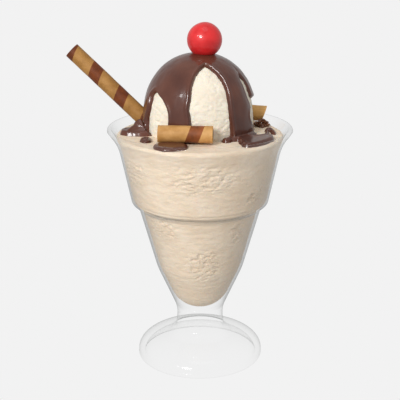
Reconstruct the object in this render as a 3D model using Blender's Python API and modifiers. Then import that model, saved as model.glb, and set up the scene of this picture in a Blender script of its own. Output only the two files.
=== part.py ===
"""Ice cream sundae in a pressed tulip glass, with chocolate sauce, a cherry and three wafer rolls.

Lengths are in metres and +Z is up. The glass is turned about its own axis, and everything is first
placed from the point where that axis meets the table. The whole is then centred, so that the origin
is the middle of its box at the table. Directions round an axis are given as an azimuth in degrees:
0 points to the front (-Y), 90 to the right (+X) and 180 to the back.
"""

import math

import bmesh
import bpy
from mathutils import Matrix, Vector

NAME = "ice_cream_sundae"
GAP = 0.0003  # clearance that touching pieces keep

# Glass, outer side: corners (radius, height, rounding) from the lip down to the stem
LIP_RADIUS = 0.0530
LIP_HEIGHT = 0.1413
LIP_BEAD = 0.0014  # radius of the rounded lip
GLASS_OUTSIDE = (
    (0.0501, 0.1361, 0.012),
    (0.0467, 0.1300, 0.025),
    (0.0398, 0.0975, 0.0025),
    (0.0358, 0.0943, 0.0020),
    (0.0254, 0.0570, 0.040),
    (0.0132, 0.0296, 0.020),
    (0.0144, 0.0182, 0.0030),
)
# Glass, inner side: corners from the middle of the bowl's floor up to the lip
GLASS_INSIDE = (
    (0.0116, 0.0316, 0.0170),
    (0.0234, 0.0580, 0.040),
    (0.0330, 0.0936, 0.0016),
    (0.0383, 0.0993, 0.0025),
    (0.0445, 0.1298, 0.025),
    (0.0478, 0.1360, 0.012),
)
FOOT_RADIUS = 0.0374
FOOT_EDGE = 0.0016  # rounding of the foot's edge, and the height where its dome starts
FOOT_DOME = 0.0141  # height of the dome above that edge
FOOT_BULGE = 0.38  # power of the dome's curve: 0.5 would be an ellipse, and less is fuller
HOLLOW_RADIUS = 0.0338  # hollow under the foot
HOLLOW_HEIGHT = 0.0130
HOLLOW_BULGE = 0.42
STEM_REACH = 1.6  # where the foot's dome starts outside the stem, in roundings of that corner
LIP_SIDE = 1.6  # how far below the lip's top its outer side starts, in lip beads

# Ice cream
FILL_LEVEL = 0.1376
FILL_SHOULDER = 0.0012  # rounding of the ice cream where its top meets the glass
FILL_LEAN = 0.36  # slope of the ice cream's side just below that rounding, less than the wall's own
SCOOP_AXIS = Vector((-0.0002, 0.0080, 0.0))
SCOOP_RADIUS = 0.0312
SCOOP_HEIGHT = 0.0425
SCOOP_RISE = 2.63  # powers of the scoop's curve: 2 and 2 would be a plain ellipse
SCOOP_ROUND = 2.09

# Chocolate sauce
SAUCE_THICKNESS = 0.0016
SKIRT_RADIUS = 0.0034  # fillet where a run of sauce spreads out on the ice cream
SKIRT_START = 1.2  # height where that fillet takes over from the run, in fillet radii
SKIRT_END = 0.8  # where its foot meets the ice cream, in fillet radii from the run
# windows that the runs leave: left and right edge (azimuth), height of the top, place of the
# top across the window (0 left, 1 right), and how blunt the arch is
WINDOWS = (
    (-63.5, -33.5, 0.1620, 0.15, 4.0),
    (-9.8, 32.2, 0.1763, 0.50, 6.0),
    (71.5, 80.0, 0.1715, 0.60, 3.0),  # narrow slit beside a short drip
    (72.3, 133.0, 0.1575, 0.50, 12.0),  # low, wide window under that drip
    (101.0, 134.0, 0.1680, 0.50, 4.0),
    (160.0, 196.0, 0.1700, 0.55, 5.0),
    (222.0, 252.0, 0.1590, 0.40, 4.0),
)
# pools that the runs end in: (x, y), half sizes (x, y, thickness), turn about Z in degrees
POOLS = (
    ((-0.0375, -0.0050), (0.0110, 0.0076, 0.0024), -75.0),
    ((-0.0335, -0.0025), (0.0112, 0.0088, 0.0062), -35.0),
    ((0.0330, -0.0230), (0.0160, 0.0070, 0.0025), 66.0),
    ((0.0255, -0.0205), (0.0085, 0.0056, 0.0022), 55.0),
    ((0.0412, -0.0030), (0.0085, 0.0023, 0.0023), 88.0),
    ((0.0390, 0.0030), (0.0034, 0.0019, 0.0025), 25.0),
    ((0.0148, -0.0215), (0.0038, 0.0044, 0.0018), 0.0),
    ((0.0190, -0.0205), (0.0045, 0.0020, 0.0013), 0.0),
)
DROPS = {
    "chocolate_drop_front": ((-0.0153, -0.0356), (0.0097, 0.0083, 0.0017), 0.0),
    "chocolate_drop_left": ((-0.0300, -0.0215), (0.0036, 0.0048, 0.0018), 0.0),
}
FLAKES = (  # chocolate flakes behind: (x, y), half sizes, turn
    ((0.0362, 0.0165), (0.0042, 0.0040, 0.0024), 20.0),
    ((0.0405, 0.0190), (0.0038, 0.0026, 0.0016), 35.0),
    ((0.0352, 0.0215), (0.0030, 0.0034, 0.0030), -10.0),
)

# Wafer rolls
ROLL_RADIUS = 0.0051
ROLL_WALL = 0.0014
# left or lower end, the other end, the slant of that end in degrees, and what the roll presses into
ROLLS = {
    "wafer_roll_long": (
        (-0.0738, 0.0160, 0.1823),
        (-0.0215, 0.0091, 0.1328),
        0.0,
        ("ice_cream_fill", "ice_cream_scoop", "chocolate_sauce"),
    ),
    "wafer_roll_front": (
        (-0.0228, -0.0270, 0.1431),
        (0.0070, -0.0290, 0.1431),
        0.0,
        ("ice_cream_scoop", "chocolate_sauce", "chocolate_drop_front"),
    ),
    "wafer_roll_back": (
        (0.0145, 0.0260, 0.1450),
        (0.0395, 0.0248, 0.1431),
        16.0,
        ("ice_cream_scoop", "chocolate_sauce", "chocolate_flakes"),
    ),
}

# Cherry
CHERRY_RADIUS = 0.0096
CHERRY_SUNK = 0.0009  # how far it presses through the sauce into the scoop
CHERRY_CENTRE = (0.0030, 0.0080, FILL_LEVEL + GAP + SCOOP_HEIGHT + GAP - CHERRY_SUNK + CHERRY_RADIUS)

# How finely the curves are divided
GLASS_STEPS = 32  # straight pieces round a turned shape
FOOD_STEPS = 28
ROLL_STEPS = 20
BALL_STEPS = (20, 10)  # round a ball and from pole to pole
POOL_STEPS = (12, 6)
WINDOW_STEPS = (4, 8)  # across and up a window's cutter
ARC_STEP = 25.0  # degrees of arc to one straight piece, on rounded corners
SHARP_ANGLE = 35.0  # degrees between two faces from which their edge is shaded sharp
CUTTER_REACH = 0.0060  # how far a cutter runs past what it cuts
CUTTER_DEPTH = 0.7  # share of the scoop's radius where a window's cutter starts
WINDOW_TIP = 0.04  # share of a window's width that is left at its very top
CORE_SHARE = 0.8  # share of the gap that the core leaves, so that no two faces coincide


def clear_scene():
    """Remove every object that the scene starts with."""
    for thing in list(bpy.data.objects):
        bpy.data.objects.remove(thing, do_unlink=True)


def new_collection(name):
    """Make a collection and link it to the scene."""
    group = bpy.data.collections.new(name)
    bpy.context.scene.collection.children.link(group)
    return group


def new_material(name, colour, roughness, alpha=1.0):
    """Make a Principled material from a linear colour."""
    material = bpy.data.materials.new(name)
    material.use_nodes = True
    shader = material.node_tree.nodes["Principled BSDF"]
    shader.inputs["Base Color"].default_value = (*colour, 1.0)
    shader.inputs["Roughness"].default_value = roughness
    shader.inputs["Metallic"].default_value = 0.0
    shader.inputs["Alpha"].default_value = alpha
    return material


def place(bm, name, group, material=None):
    """Turn a bmesh into an object of one collection, shaded smooth between sharp edges."""
    bmesh.ops.recalc_face_normals(bm, faces=bm.faces)
    mesh = bpy.data.meshes.new(name)
    bm.to_mesh(mesh)
    bm.free()
    mesh.shade_smooth()
    mesh.set_sharp_from_angle(angle=math.radians(SHARP_ANGLE))
    thing = bpy.data.objects.new(name, mesh)
    group.objects.link(thing)
    if material is not None:
        mesh.materials.append(material)
    return thing


def as_cutter(thing):
    """Keep an object out of the finished part."""
    thing.hide_render = True
    thing.display_type = "WIRE"
    return thing


def boolean(thing, other, operation="DIFFERENCE"):
    """Cut one object with another, or join the other to it."""
    modifier = thing.modifiers.new(f"{operation.lower()}_{other.name}", "BOOLEAN")
    modifier.operation = operation
    modifier.solver = "EXACT"
    modifier.object = other


# Outlines --------------------------------------------------------------------------------------


def rounded(corners, start, end):
    """Points along a path from start to end whose corners are rounded by arcs."""
    points = [Vector(start)]
    stops = [Vector(start)] + [Vector(c[:2]) for c in corners] + [Vector(end)]
    for before, here, after, corner in zip(stops, stops[1:], stops[2:], corners):
        inward = (before - here).normalized()
        outward = (after - here).normalized()
        half = inward.angle(outward) / 2
        reach = corner[2] / math.tan(half)
        centre = here + (inward + outward).normalized() * corner[2] / math.sin(half)
        first = here + inward * reach - centre
        sweep = first.angle_signed(here + outward * reach - centre)
        steps = max(1, round(math.degrees(abs(sweep)) / ARC_STEP))
        for k in range(steps + 1):
            arm = first.copy()
            arm.rotate(Matrix.Rotation(-sweep * k / steps, 2))
            points.append(centre + arm)
    points.append(Vector(end))
    return points


def arc(centre, radius, from_angle, to_angle, steps):
    """Points on a circle in the (radius, height) plane, with angles in degrees from +radius."""
    points = []
    for k in range(steps + 1):
        angle = math.radians(from_angle + (to_angle - from_angle) * k / steps)
        points.append(Vector(centre) + Vector((math.cos(angle), math.sin(angle))) * radius)
    return points


def dome(radius, height, floor, power, from_share, to_share, steps):
    """Points on the foot's dome, between two shares of its radius."""
    points = []
    for k in range(steps + 1):
        share = from_share + (to_share - from_share) * k / steps
        points.append(Vector((radius * share, floor + height * max(0.0, 1 - share**2) ** power)))
    return points


def scoop_reach(height):
    """The scoop's radius at a height."""
    rise = max(0.0, height - FILL_LEVEL - GAP) / SCOOP_HEIGHT
    return SCOOP_RADIUS * (1 - rise**SCOOP_RISE) ** (1 / SCOOP_ROUND)


def scoop_outline(offset, steps=8):
    """Points from the scoop's base to its top, moved outwards by offset."""
    points = []
    for k in range(steps + 1):
        angle = math.pi / 2 * k / steps
        rise = math.sin(angle) ** (2 / SCOOP_RISE)
        reach = math.cos(angle) ** (2 / SCOOP_ROUND)
        # gradient of the implicit curve, which is the direction of the normal
        normal = Vector(
            (
                SCOOP_ROUND * reach ** (SCOOP_ROUND - 1) / SCOOP_RADIUS,
                SCOOP_RISE * rise ** (SCOOP_RISE - 1) / SCOOP_HEIGHT,
            )
        ).normalized()
        point = Vector((SCOOP_RADIUS * reach, SCOOP_HEIGHT * rise)) + normal * offset
        points.append(Vector((max(0.0, point.x), point.y + FILL_LEVEL + GAP)))
    points[-1].x = 0.0
    return points


# Solids ----------------------------------------------------------------------------------------


def turned(name, outline, group, material=None, axis=(0, 0, 0), steps=FOOD_STEPS):
    """A solid of revolution from a (radius, height) outline that runs down its outer side."""
    bm = bmesh.new()
    verts = [bm.verts.new((point[0], 0, point[1])) for point in outline]
    for first, second in zip(verts, verts[1:]):
        bm.edges.new((first, second))
    mesh = bpy.data.meshes.new(name)
    bm.to_mesh(mesh)
    bm.free()
    thing = bpy.data.objects.new(name, mesh)
    group.objects.link(thing)
    if material is not None:
        mesh.materials.append(material)
    screw = thing.modifiers.new("turn", "SCREW")
    screw.axis = "Z"
    screw.steps = steps
    screw.render_steps = steps
    screw.use_merge_vertices = True
    screw.merge_threshold = 0.00001
    screw.use_smooth_shade = True
    thing.location = axis
    return thing


def pool(name, spot, half_sizes, turn, group, material=None):
    """A flat-bottomed drop of sauce that lies on the ice cream."""
    bm = bmesh.new()
    around, down = POOL_STEPS
    bmesh.ops.create_uvsphere(bm, u_segments=around, v_segments=down, radius=1.0)
    everything = bm.verts[:] + bm.edges[:] + bm.faces[:]
    bmesh.ops.bisect_plane(bm, geom=everything, plane_co=(0, 0, 0), plane_no=(0, 0, -1), clear_outer=True)
    bmesh.ops.holes_fill(bm, edges=[edge for edge in bm.edges if edge.is_boundary])
    bmesh.ops.scale(bm, vec=half_sizes, verts=bm.verts)
    bmesh.ops.rotate(bm, matrix=Matrix.Rotation(math.radians(turn), 3, "Z"), verts=bm.verts)
    bmesh.ops.translate(bm, vec=(*spot, FILL_LEVEL + GAP), verts=bm.verts)
    return place(bm, name, group, material)


def window_cutter(name, window, group):
    """A block with an arched outline, bent round the scoop, that cuts one window in the sauce."""
    left, right, top, peak, blunt = window
    low = FILL_LEVEL - GAP
    bm = bmesh.new()
    bmesh.ops.create_grid(bm, x_segments=WINDOW_STEPS[0], y_segments=WINDOW_STEPS[1], size=0.5)
    for vert in bm.verts:
        across = vert.co.x + 0.5
        up = math.sin((vert.co.y + 0.5) * math.pi / 2)  # rows gather near the top
        width = max(WINDOW_TIP, math.sqrt(1 - up**blunt))
        azimuth = math.radians(left + (right - left) * (peak + (across - peak) * width))
        height = low + (top - low) * up
        inside = scoop_reach(height) * CUTTER_DEPTH
        vert.co = (inside * math.sin(azimuth), -inside * math.cos(azimuth), height)
    grown = bmesh.ops.extrude_face_region(bm, geom=bm.faces[:])["geom"]
    for vert in (item for item in grown if isinstance(item, bmesh.types.BMVert)):
        reach = vert.co.xy.length
        stretch = (reach / CUTTER_DEPTH + SKIRT_RADIUS + CUTTER_REACH) / reach
        vert.co.x *= stretch
        vert.co.y *= stretch
    cutter = place(bm, name, group)
    cutter.location = SCOOP_AXIS
    return as_cutter(cutter)


def between(start, end):
    """Where a piece made along +Z from 0 goes to run from start to end."""
    way = Vector(end) - Vector(start)
    return Matrix.Translation(start) @ way.to_track_quat("Z", "Y").to_matrix().to_4x4()


def roll(name, start, end, slant, group, material):
    """A hollow wafer roll. A slanted end is pushed along the axis on one side."""
    length = (Vector(end) - Vector(start)).length
    bm = bmesh.new()
    bmesh.ops.create_cone(
        bm, segments=ROLL_STEPS, radius1=ROLL_RADIUS, radius2=ROLL_RADIUS, depth=length, cap_ends=False
    )
    bmesh.ops.translate(bm, vec=(0, 0, length / 2), verts=bm.verts)
    matrix = between(start, end)
    upward = (matrix.to_3x3().inverted() @ Vector((0, 0, 1))).xy
    for vert in bm.verts:
        if vert.co.z > length / 2:
            vert.co.z += math.tan(math.radians(slant)) * (upward.dot(vert.co.xy) - ROLL_RADIUS)
    thing = place(bm, name, group, material)
    wall = thing.modifiers.new("wall", "SOLIDIFY")
    wall.thickness = ROLL_WALL
    wall.offset = -1
    thing.matrix_world = matrix
    return thing


def roll_cutter(name, start, end, group):
    """A solid rod that clears a roll by the gap all round and at both of its ends."""
    way = (Vector(end) - Vector(start)).normalized()
    first = Vector(start) - way * GAP
    last = Vector(end) + way * GAP
    length = (last - first).length
    bm = bmesh.new()
    wide = ROLL_RADIUS + GAP
    bmesh.ops.create_cone(bm, segments=ROLL_STEPS, radius1=wide, radius2=wide, depth=length, cap_ends=True)
    bmesh.ops.translate(bm, vec=(0, 0, length / 2), verts=bm.verts)
    thing = place(bm, name, group)
    thing.matrix_world = between(first, last)
    return as_cutter(thing)


def ball(name, centre, radius, group, material=None):
    """A plain ball."""
    bm = bmesh.new()
    bmesh.ops.create_uvsphere(bm, u_segments=BALL_STEPS[0], v_segments=BALL_STEPS[1], radius=radius)
    thing = place(bm, name, group, material)
    thing.location = centre
    return thing


# Sub-parts -------------------------------------------------------------------------------------


def glass_inner_wall():
    """The bowl's inner side, from the middle of its floor up to the start of the lip."""
    lip = (LIP_RADIUS - 2 * LIP_BEAD, LIP_HEIGHT - LIP_BEAD)
    return rounded(GLASS_INSIDE, (0.0, GLASS_INSIDE[0][1]), lip)


def glass(group, material):
    """The whole glass: bowl, lip, stem and foot, and the hollow under it."""
    stem = GLASS_OUTSIDE[-1]
    dome_start = (stem[0] + STEM_REACH * stem[2]) / FOOT_RADIUS
    dome_points = dome(FOOT_RADIUS, FOOT_DOME, FOOT_EDGE, FOOT_BULGE, dome_start, 0.96, 5)
    dome_points += dome(FOOT_RADIUS, FOOT_DOME, FOOT_EDGE, FOOT_BULGE, 0.99, 1.0, 1)
    outline = glass_inner_wall()
    outline += arc((LIP_RADIUS - LIP_BEAD, LIP_HEIGHT - LIP_BEAD), LIP_BEAD, 144, 0, 4)
    outline += rounded(GLASS_OUTSIDE, (LIP_RADIUS, LIP_HEIGHT - LIP_SIDE * LIP_BEAD), dome_points[0])[:-1]
    outline += dome_points
    outline += arc((FOOT_RADIUS - FOOT_EDGE, FOOT_EDGE), FOOT_EDGE, -30, -90, 2)
    outline += dome(HOLLOW_RADIUS, HOLLOW_HEIGHT, 0.0, HOLLOW_BULGE, 1.0, 0.97, 1)
    outline += dome(HOLLOW_RADIUS, HOLLOW_HEIGHT, 0.0, HOLLOW_BULGE, 0.85, 0.0, 4)
    return turned("glass", outline, group, material, steps=GLASS_STEPS)


def ice_cream_fill(group, material):
    """The ice cream that fills the bowl: the glass's inner side, moved in by the gap."""
    wall = [point for point in glass_inner_wall() if point.y < FILL_LEVEL - FILL_SHOULDER]
    moved = [Vector((0.0, wall[0].y + GAP))]
    for before, here, after in zip(wall, wall[1:], wall[2:]):
        along = (after - before).normalized()
        moved.append(here + Vector((-along.y, along.x)) * GAP)
    edge = moved[-1]
    rim_reach = edge.x + FILL_LEAN * (FILL_LEVEL - FILL_SHOULDER - edge.y)
    outline = [Vector((0.0, FILL_LEVEL)), Vector((rim_reach - 2 * FILL_SHOULDER, FILL_LEVEL))]
    outline += arc((rim_reach - FILL_SHOULDER, FILL_LEVEL - FILL_SHOULDER), FILL_SHOULDER, 75, 0, 3)
    outline += reversed(moved)
    return turned("ice_cream_fill", outline, group, material, steps=GLASS_STEPS)


def ice_cream_scoop(group, material):
    """The scoop, down to the ice cream that it stands on."""
    outline = list(reversed(scoop_outline(0.0))) + [Vector((0.0, FILL_LEVEL + GAP))]
    return turned("ice_cream_scoop", outline, group, material, SCOOP_AXIS)


def chocolate_sauce(group, cutters, material):
    """A cap of sauce over the scoop, open in arched windows, whose runs spread out in pools."""
    floor = FILL_LEVEL + GAP
    inner = scoop_outline(GAP)
    start = floor + SKIRT_RADIUS * SKIRT_START
    outer = [point for point in scoop_outline(GAP + SAUCE_THICKNESS) if point.y > start]
    waist = SCOOP_RADIUS + GAP + SAUCE_THICKNESS
    skirt = arc((waist + SKIRT_RADIUS, floor + SKIRT_RADIUS), SKIRT_RADIUS, 180, 250, 3)
    outline = list(reversed(outer)) + skirt + [Vector((waist + SKIRT_RADIUS * SKIRT_END, floor))]
    outline += [Vector((inner[0].x, floor))] + inner[1:]
    sauce = turned("chocolate_sauce", outline, group, material, SCOOP_AXIS)
    for number, window in enumerate(WINDOWS):
        boolean(sauce, window_cutter(f"window_{number}", window, cutters))
    for number, (spot, half_sizes, turn) in enumerate(POOLS):
        part = as_cutter(pool(f"pool_{number}", spot, half_sizes, turn, cutters))
        boolean(sauce, part, "UNION")
    # the pools reach into the scoop, which a slightly smaller core than the cap's own inside clears
    room = scoop_outline(GAP * CORE_SHARE)
    low = room[0].y - CUTTER_REACH
    foot = [Vector((room[0].x, low)), Vector((0.0, low))]
    core = turned("scoop_room", list(reversed(room)) + foot, cutters, None, SCOOP_AXIS)
    boolean(sauce, as_cutter(core))
    return sauce


def flakes(group, cutters, material):
    """A little heap of chocolate flakes, as one lump."""
    spot, half_sizes, turn = FLAKES[0]
    heap = pool("chocolate_flakes", spot, half_sizes, turn, group, material)
    for number, (spot, half_sizes, turn) in enumerate(FLAKES[1:]):
        part = as_cutter(pool(f"flake_{number}", spot, half_sizes, turn, cutters))
        boolean(heap, part, "UNION")
    return heap


def centre_on_table(parts, group):
    """Hang every part on one empty, and move it so that the origin is the box's bottom centre."""
    bpy.context.view_layer.update()
    shapes = bpy.context.evaluated_depsgraph_get()
    corners = []
    for part in parts:
        body = part.evaluated_get(shapes)
        corners += [body.matrix_world @ vert.co for vert in body.data.vertices]
    middle = [(min(c[i] for c in corners) + max(c[i] for c in corners)) / 2 for i in (0, 1)]
    root = bpy.data.objects.new("sundae_axis", None)
    group.objects.link(root)
    for thing in bpy.data.objects:
        if thing is not root and thing.parent is None:
            thing.parent = root
    root.location = (-middle[0], -middle[1], 0.0)


def main():
    """Build every piece, cut each where its neighbours press into it, and centre the whole."""
    clear_scene()
    group = new_collection(NAME)
    cutters = new_collection("cutters")
    clear_glass = new_material("clear_glass", (0.93, 0.95, 0.95), 0.02, alpha=0.3)
    vanilla = new_material("vanilla_ice_cream", (0.80, 0.66, 0.49), 0.55)
    chocolate = new_material("chocolate", (0.10, 0.045, 0.030), 0.25)
    wafer = new_material("wafer", (0.55, 0.27, 0.10), 0.6)
    candied = new_material("candied_cherry", (0.70, 0.02, 0.02), 0.12)

    bowl = glass(group, clear_glass)
    fill = ice_cream_fill(group, vanilla)
    scoop = ice_cream_scoop(group, vanilla)
    sauce = chocolate_sauce(group, cutters, chocolate)
    heap = flakes(group, cutters, chocolate)
    drops = [pool(name, *sizes, group, chocolate) for name, sizes in DROPS.items()]
    cherry = ball("cherry", CHERRY_CENTRE, CHERRY_RADIUS, group, candied)
    seat = as_cutter(ball("cherry_seat", CHERRY_CENTRE, CHERRY_RADIUS + GAP, cutters))
    for neighbour in (sauce, scoop):
        boolean(neighbour, seat)

    rolls = []
    for name, (start, end, slant, pressed) in ROLLS.items():
        rolls.append(roll(name, start, end, slant, group, wafer))
        rod = roll_cutter(f"{name}_room", start, end, cutters)
        for neighbour in pressed:
            boolean(group.objects[neighbour], rod)
    centre_on_table([bowl, fill, scoop, sauce, heap, *drops, cherry, *rolls], group)


main()
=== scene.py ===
"""Vanilla sundae in a footed soda glass: the finished look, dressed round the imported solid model.

Lengths are in metres, +Z is up and the front is -Y. Sizes are given from the point where the glass's
axis meets the table, and each finished mesh is moved to that axis last. An azimuth is in degrees:
0 points to the front (-Y), 90 to the right (+X) and 180 to the back.
"""

import sys
import logging
import math
from collections.abc import Iterable, Sequence
from dataclasses import dataclass
from enum import Enum
from random import Random
from typing import Any

import bmesh
import bpy
import numpy as np
from mathutils import Matrix, Vector, noise
from mathutils.kdtree import KDTree


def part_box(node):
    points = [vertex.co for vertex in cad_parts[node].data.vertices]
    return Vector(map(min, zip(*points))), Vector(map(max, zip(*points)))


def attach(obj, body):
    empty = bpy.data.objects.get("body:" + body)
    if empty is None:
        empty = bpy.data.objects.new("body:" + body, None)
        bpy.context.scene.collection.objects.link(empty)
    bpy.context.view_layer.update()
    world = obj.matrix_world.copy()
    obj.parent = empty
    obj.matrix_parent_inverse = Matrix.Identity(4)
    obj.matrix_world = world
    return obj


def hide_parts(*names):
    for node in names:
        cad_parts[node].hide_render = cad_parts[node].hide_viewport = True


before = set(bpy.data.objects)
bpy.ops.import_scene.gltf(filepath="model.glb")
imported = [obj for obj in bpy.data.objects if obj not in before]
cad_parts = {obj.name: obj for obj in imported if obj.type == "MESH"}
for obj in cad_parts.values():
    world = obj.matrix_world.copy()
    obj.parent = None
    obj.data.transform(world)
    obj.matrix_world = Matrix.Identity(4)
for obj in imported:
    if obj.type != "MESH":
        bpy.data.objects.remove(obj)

LOG = logging.getLogger("sundae")
MM = 0.001
SHARP = math.radians(40)  # edges that turn more than this stay sharp on broken and baked pieces


class Slot(Enum):
    """The record's material slots, named for the kinds of finish that the pieces get."""

    GLASS = "clear_glass"
    ICE_CREAM = "ice_cream"
    CHOCOLATE = "chocolate_sauce"
    WAFER = "wafer"
    CHERRY = "candied_cherry"


class Hand(Enum):
    """Which way a wafer roll's stripe climbs round it."""

    LEFT = -1
    RIGHT = 1


# Colour and nodes ------------------------------------------------------------------------------


def linear(code: str) -> tuple[float, float, float, float]:
    """Turns an sRGB hex colour into the linear colour that a shader takes.

    Args:
        code: six hex digits, such as "E8D2BC".

    Returns:
        Red, green, blue and an alpha of 1.
    """
    parts = [int(code[i : i + 2], 16) / 255 for i in (0, 2, 4)]
    red, green, blue = (p / 12.92 if p <= 0.04045 else ((p + 0.055) / 1.055) ** 2.4 for p in parts)
    return red, green, blue, 1.0


def add_node(tree: bpy.types.NodeTree, kind: str, inputs: dict[str | int, Any] | None = None, **settings: Any) -> Any:
    """Adds one shader node with its settings and links.

    Args:
        tree: the node tree of a material or of the world.
        kind: Blender's name for the type of node.
        inputs: socket name or number, to a plain value or to the output socket that feeds it.
        **settings: properties of the node itself.

    Returns:
        The new node.
    """
    node = tree.nodes.new(kind)
    for name, value in settings.items():
        setattr(node, name, value)
    for key, value in (inputs or {}).items():
        if isinstance(value, bpy.types.NodeSocket):
            tree.links.new(value, node.inputs[key])
        else:
            node.inputs[key].default_value = value
    return node


def new_material(name: str) -> tuple[bpy.types.Material, bpy.types.NodeTree]:
    """Makes an empty material.

    Args:
        name: the real material and how it was made.

    Returns:
        The material and its empty node tree.
    """
    material = bpy.data.materials.new(name)
    material.use_nodes = True
    material.node_tree.nodes.clear()
    return material, material.node_tree


def close_tree(tree: bpy.types.NodeTree, surface: bpy.types.NodeSocket) -> None:
    """Links a shader to the tree's output."""
    add_node(tree, "ShaderNodeOutputMaterial", {"Surface": surface})


def clouded(
    tree: bpy.types.NodeTree,
    place: bpy.types.NodeSocket,
    size: float,
    limits: tuple[float, float],
    pairs: Sequence[tuple[str, str]],
    detail: float = 3.0,
    roughness: float = 0.5,
) -> list[bpy.types.NodeSocket]:
    """Lets soft clouds of a darker colour drift through the lighter one of the same material.

    Args:
        tree: the material's node tree.
        place: the socket that holds the place on the surface.
        size: size of the clouds.
        limits: values of the noise where the light colour ends and where the dark one is full.
        pairs: the light and the dark colour of each part of the material, as hex.
        detail: how many finer layers the clouds have.
        roughness: how strong those layers are.

    Returns:
        The colour's socket for each pair.
    """
    cloud = add_node(
        tree, "ShaderNodeTexNoise", {"Vector": place, "Scale": 1 / size, "Detail": detail, "Roughness": roughness}
    )
    span = {"Value": cloud.outputs["Fac"], "From Min": limits[0], "From Max": limits[1]}
    share = add_node(tree, "ShaderNodeMapRange", span).outputs[0]
    ends = [{"Factor": share, "A": linear(light), "B": linear(dark)} for light, dark in pairs]
    return [add_node(tree, "ShaderNodeMix", mix, data_type="RGBA").outputs["Result"] for mix in ends]


# Finishes --------------------------------------------------------------------------------------


@dataclass(frozen=True)
class PressedGlass:
    """Clear soda-lime glass, pressed and fire-polished, so its surface is smooth and very shiny.

    Seen square on it is all but invisible. Towards its outlines it mirrors the room more and more,
    which the eye reads as thin grey lines along the wall, the lip and the foot.
    """

    body: str = "FEFEFE"
    deep: str = "2E2E2D"  # painted shade: colour that the filled wall takes near its outline, to darken the ice cream's edges behind it
    mirror: str = "EEEFEE"
    square_on: float = 0.01  # share of light mirrored by glass seen square on
    grazing: float = 0.9  # and along its surface
    rise: float = 4.0  # how late the mirror's share rises between the two
    polish: float = 0.09

    def material(self) -> bpy.types.Material:
        """Builds the glass, whose mirror's strength follows the piece's own outline_shine attribute. Near its outline,
        where the wall lies over the ice cream, its see-through colour turns dark: painted shade on the ice cream's
        edges.

        Returns:
            The material.
        """
        material, tree = new_material("pressed_soda_lime_glass")
        gloss = add_node(tree, "ShaderNodeBsdfGlossy", {"Color": linear(self.mirror), "Roughness": self.polish})
        slope = add_node(tree, "ShaderNodeLayerWeight", {"Blend": 0.5})
        steep = add_node(tree, "ShaderNodeMath", {0: slope.outputs["Facing"], 1: self.rise}, operation="POWER")
        # painted shade: a band towards the outline of the filled wall tints the see-through colour dark, darkening the
        # ice cream's edges behind it
        painted_shade_mask = add_node(tree, "ShaderNodeAttribute", attribute_name="painted_shade_wall")
        rest = add_node(tree, "ShaderNodeMath", {0: 1.0, 1: steep.outputs[0]}, operation="SUBTRACT")
        shade_band = add_node(tree, "ShaderNodeMath", {0: steep.outputs[0], 1: rest.outputs[0]}, operation="MULTIPLY")
        depth = add_node(tree, "ShaderNodeMath", {0: shade_band.outputs[0], 1: painted_shade_mask.outputs["Fac"]}, operation="MULTIPLY")
        painted_shade_tint = add_node(
            tree,
            "ShaderNodeMix",
            {"Factor": depth.outputs[0], "A": linear(self.body), "B": linear(self.deep)},
            data_type="RGBA",
        )
        clear = add_node(tree, "ShaderNodeBsdfTransparent", {"Color": painted_shade_tint.outputs["Result"]})
        share = add_node(
            tree, "ShaderNodeMapRange", {"Value": steep.outputs[0], "To Min": self.square_on, "To Max": self.grazing}
        )
        shine = add_node(tree, "ShaderNodeAttribute", attribute_name="outline_shine")
        held = add_node(
            tree, "ShaderNodeMath", {0: share.outputs[0], 1: shine.outputs["Fac"]}, operation="MULTIPLY", use_clamp=True
        )
        mixed = add_node(tree, "ShaderNodeMixShader", {0: held.outputs[0], 1: clear.outputs[0], 2: gloss.outputs[0]})
        close_tree(tree, mixed.outputs[0])
        return material


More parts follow.
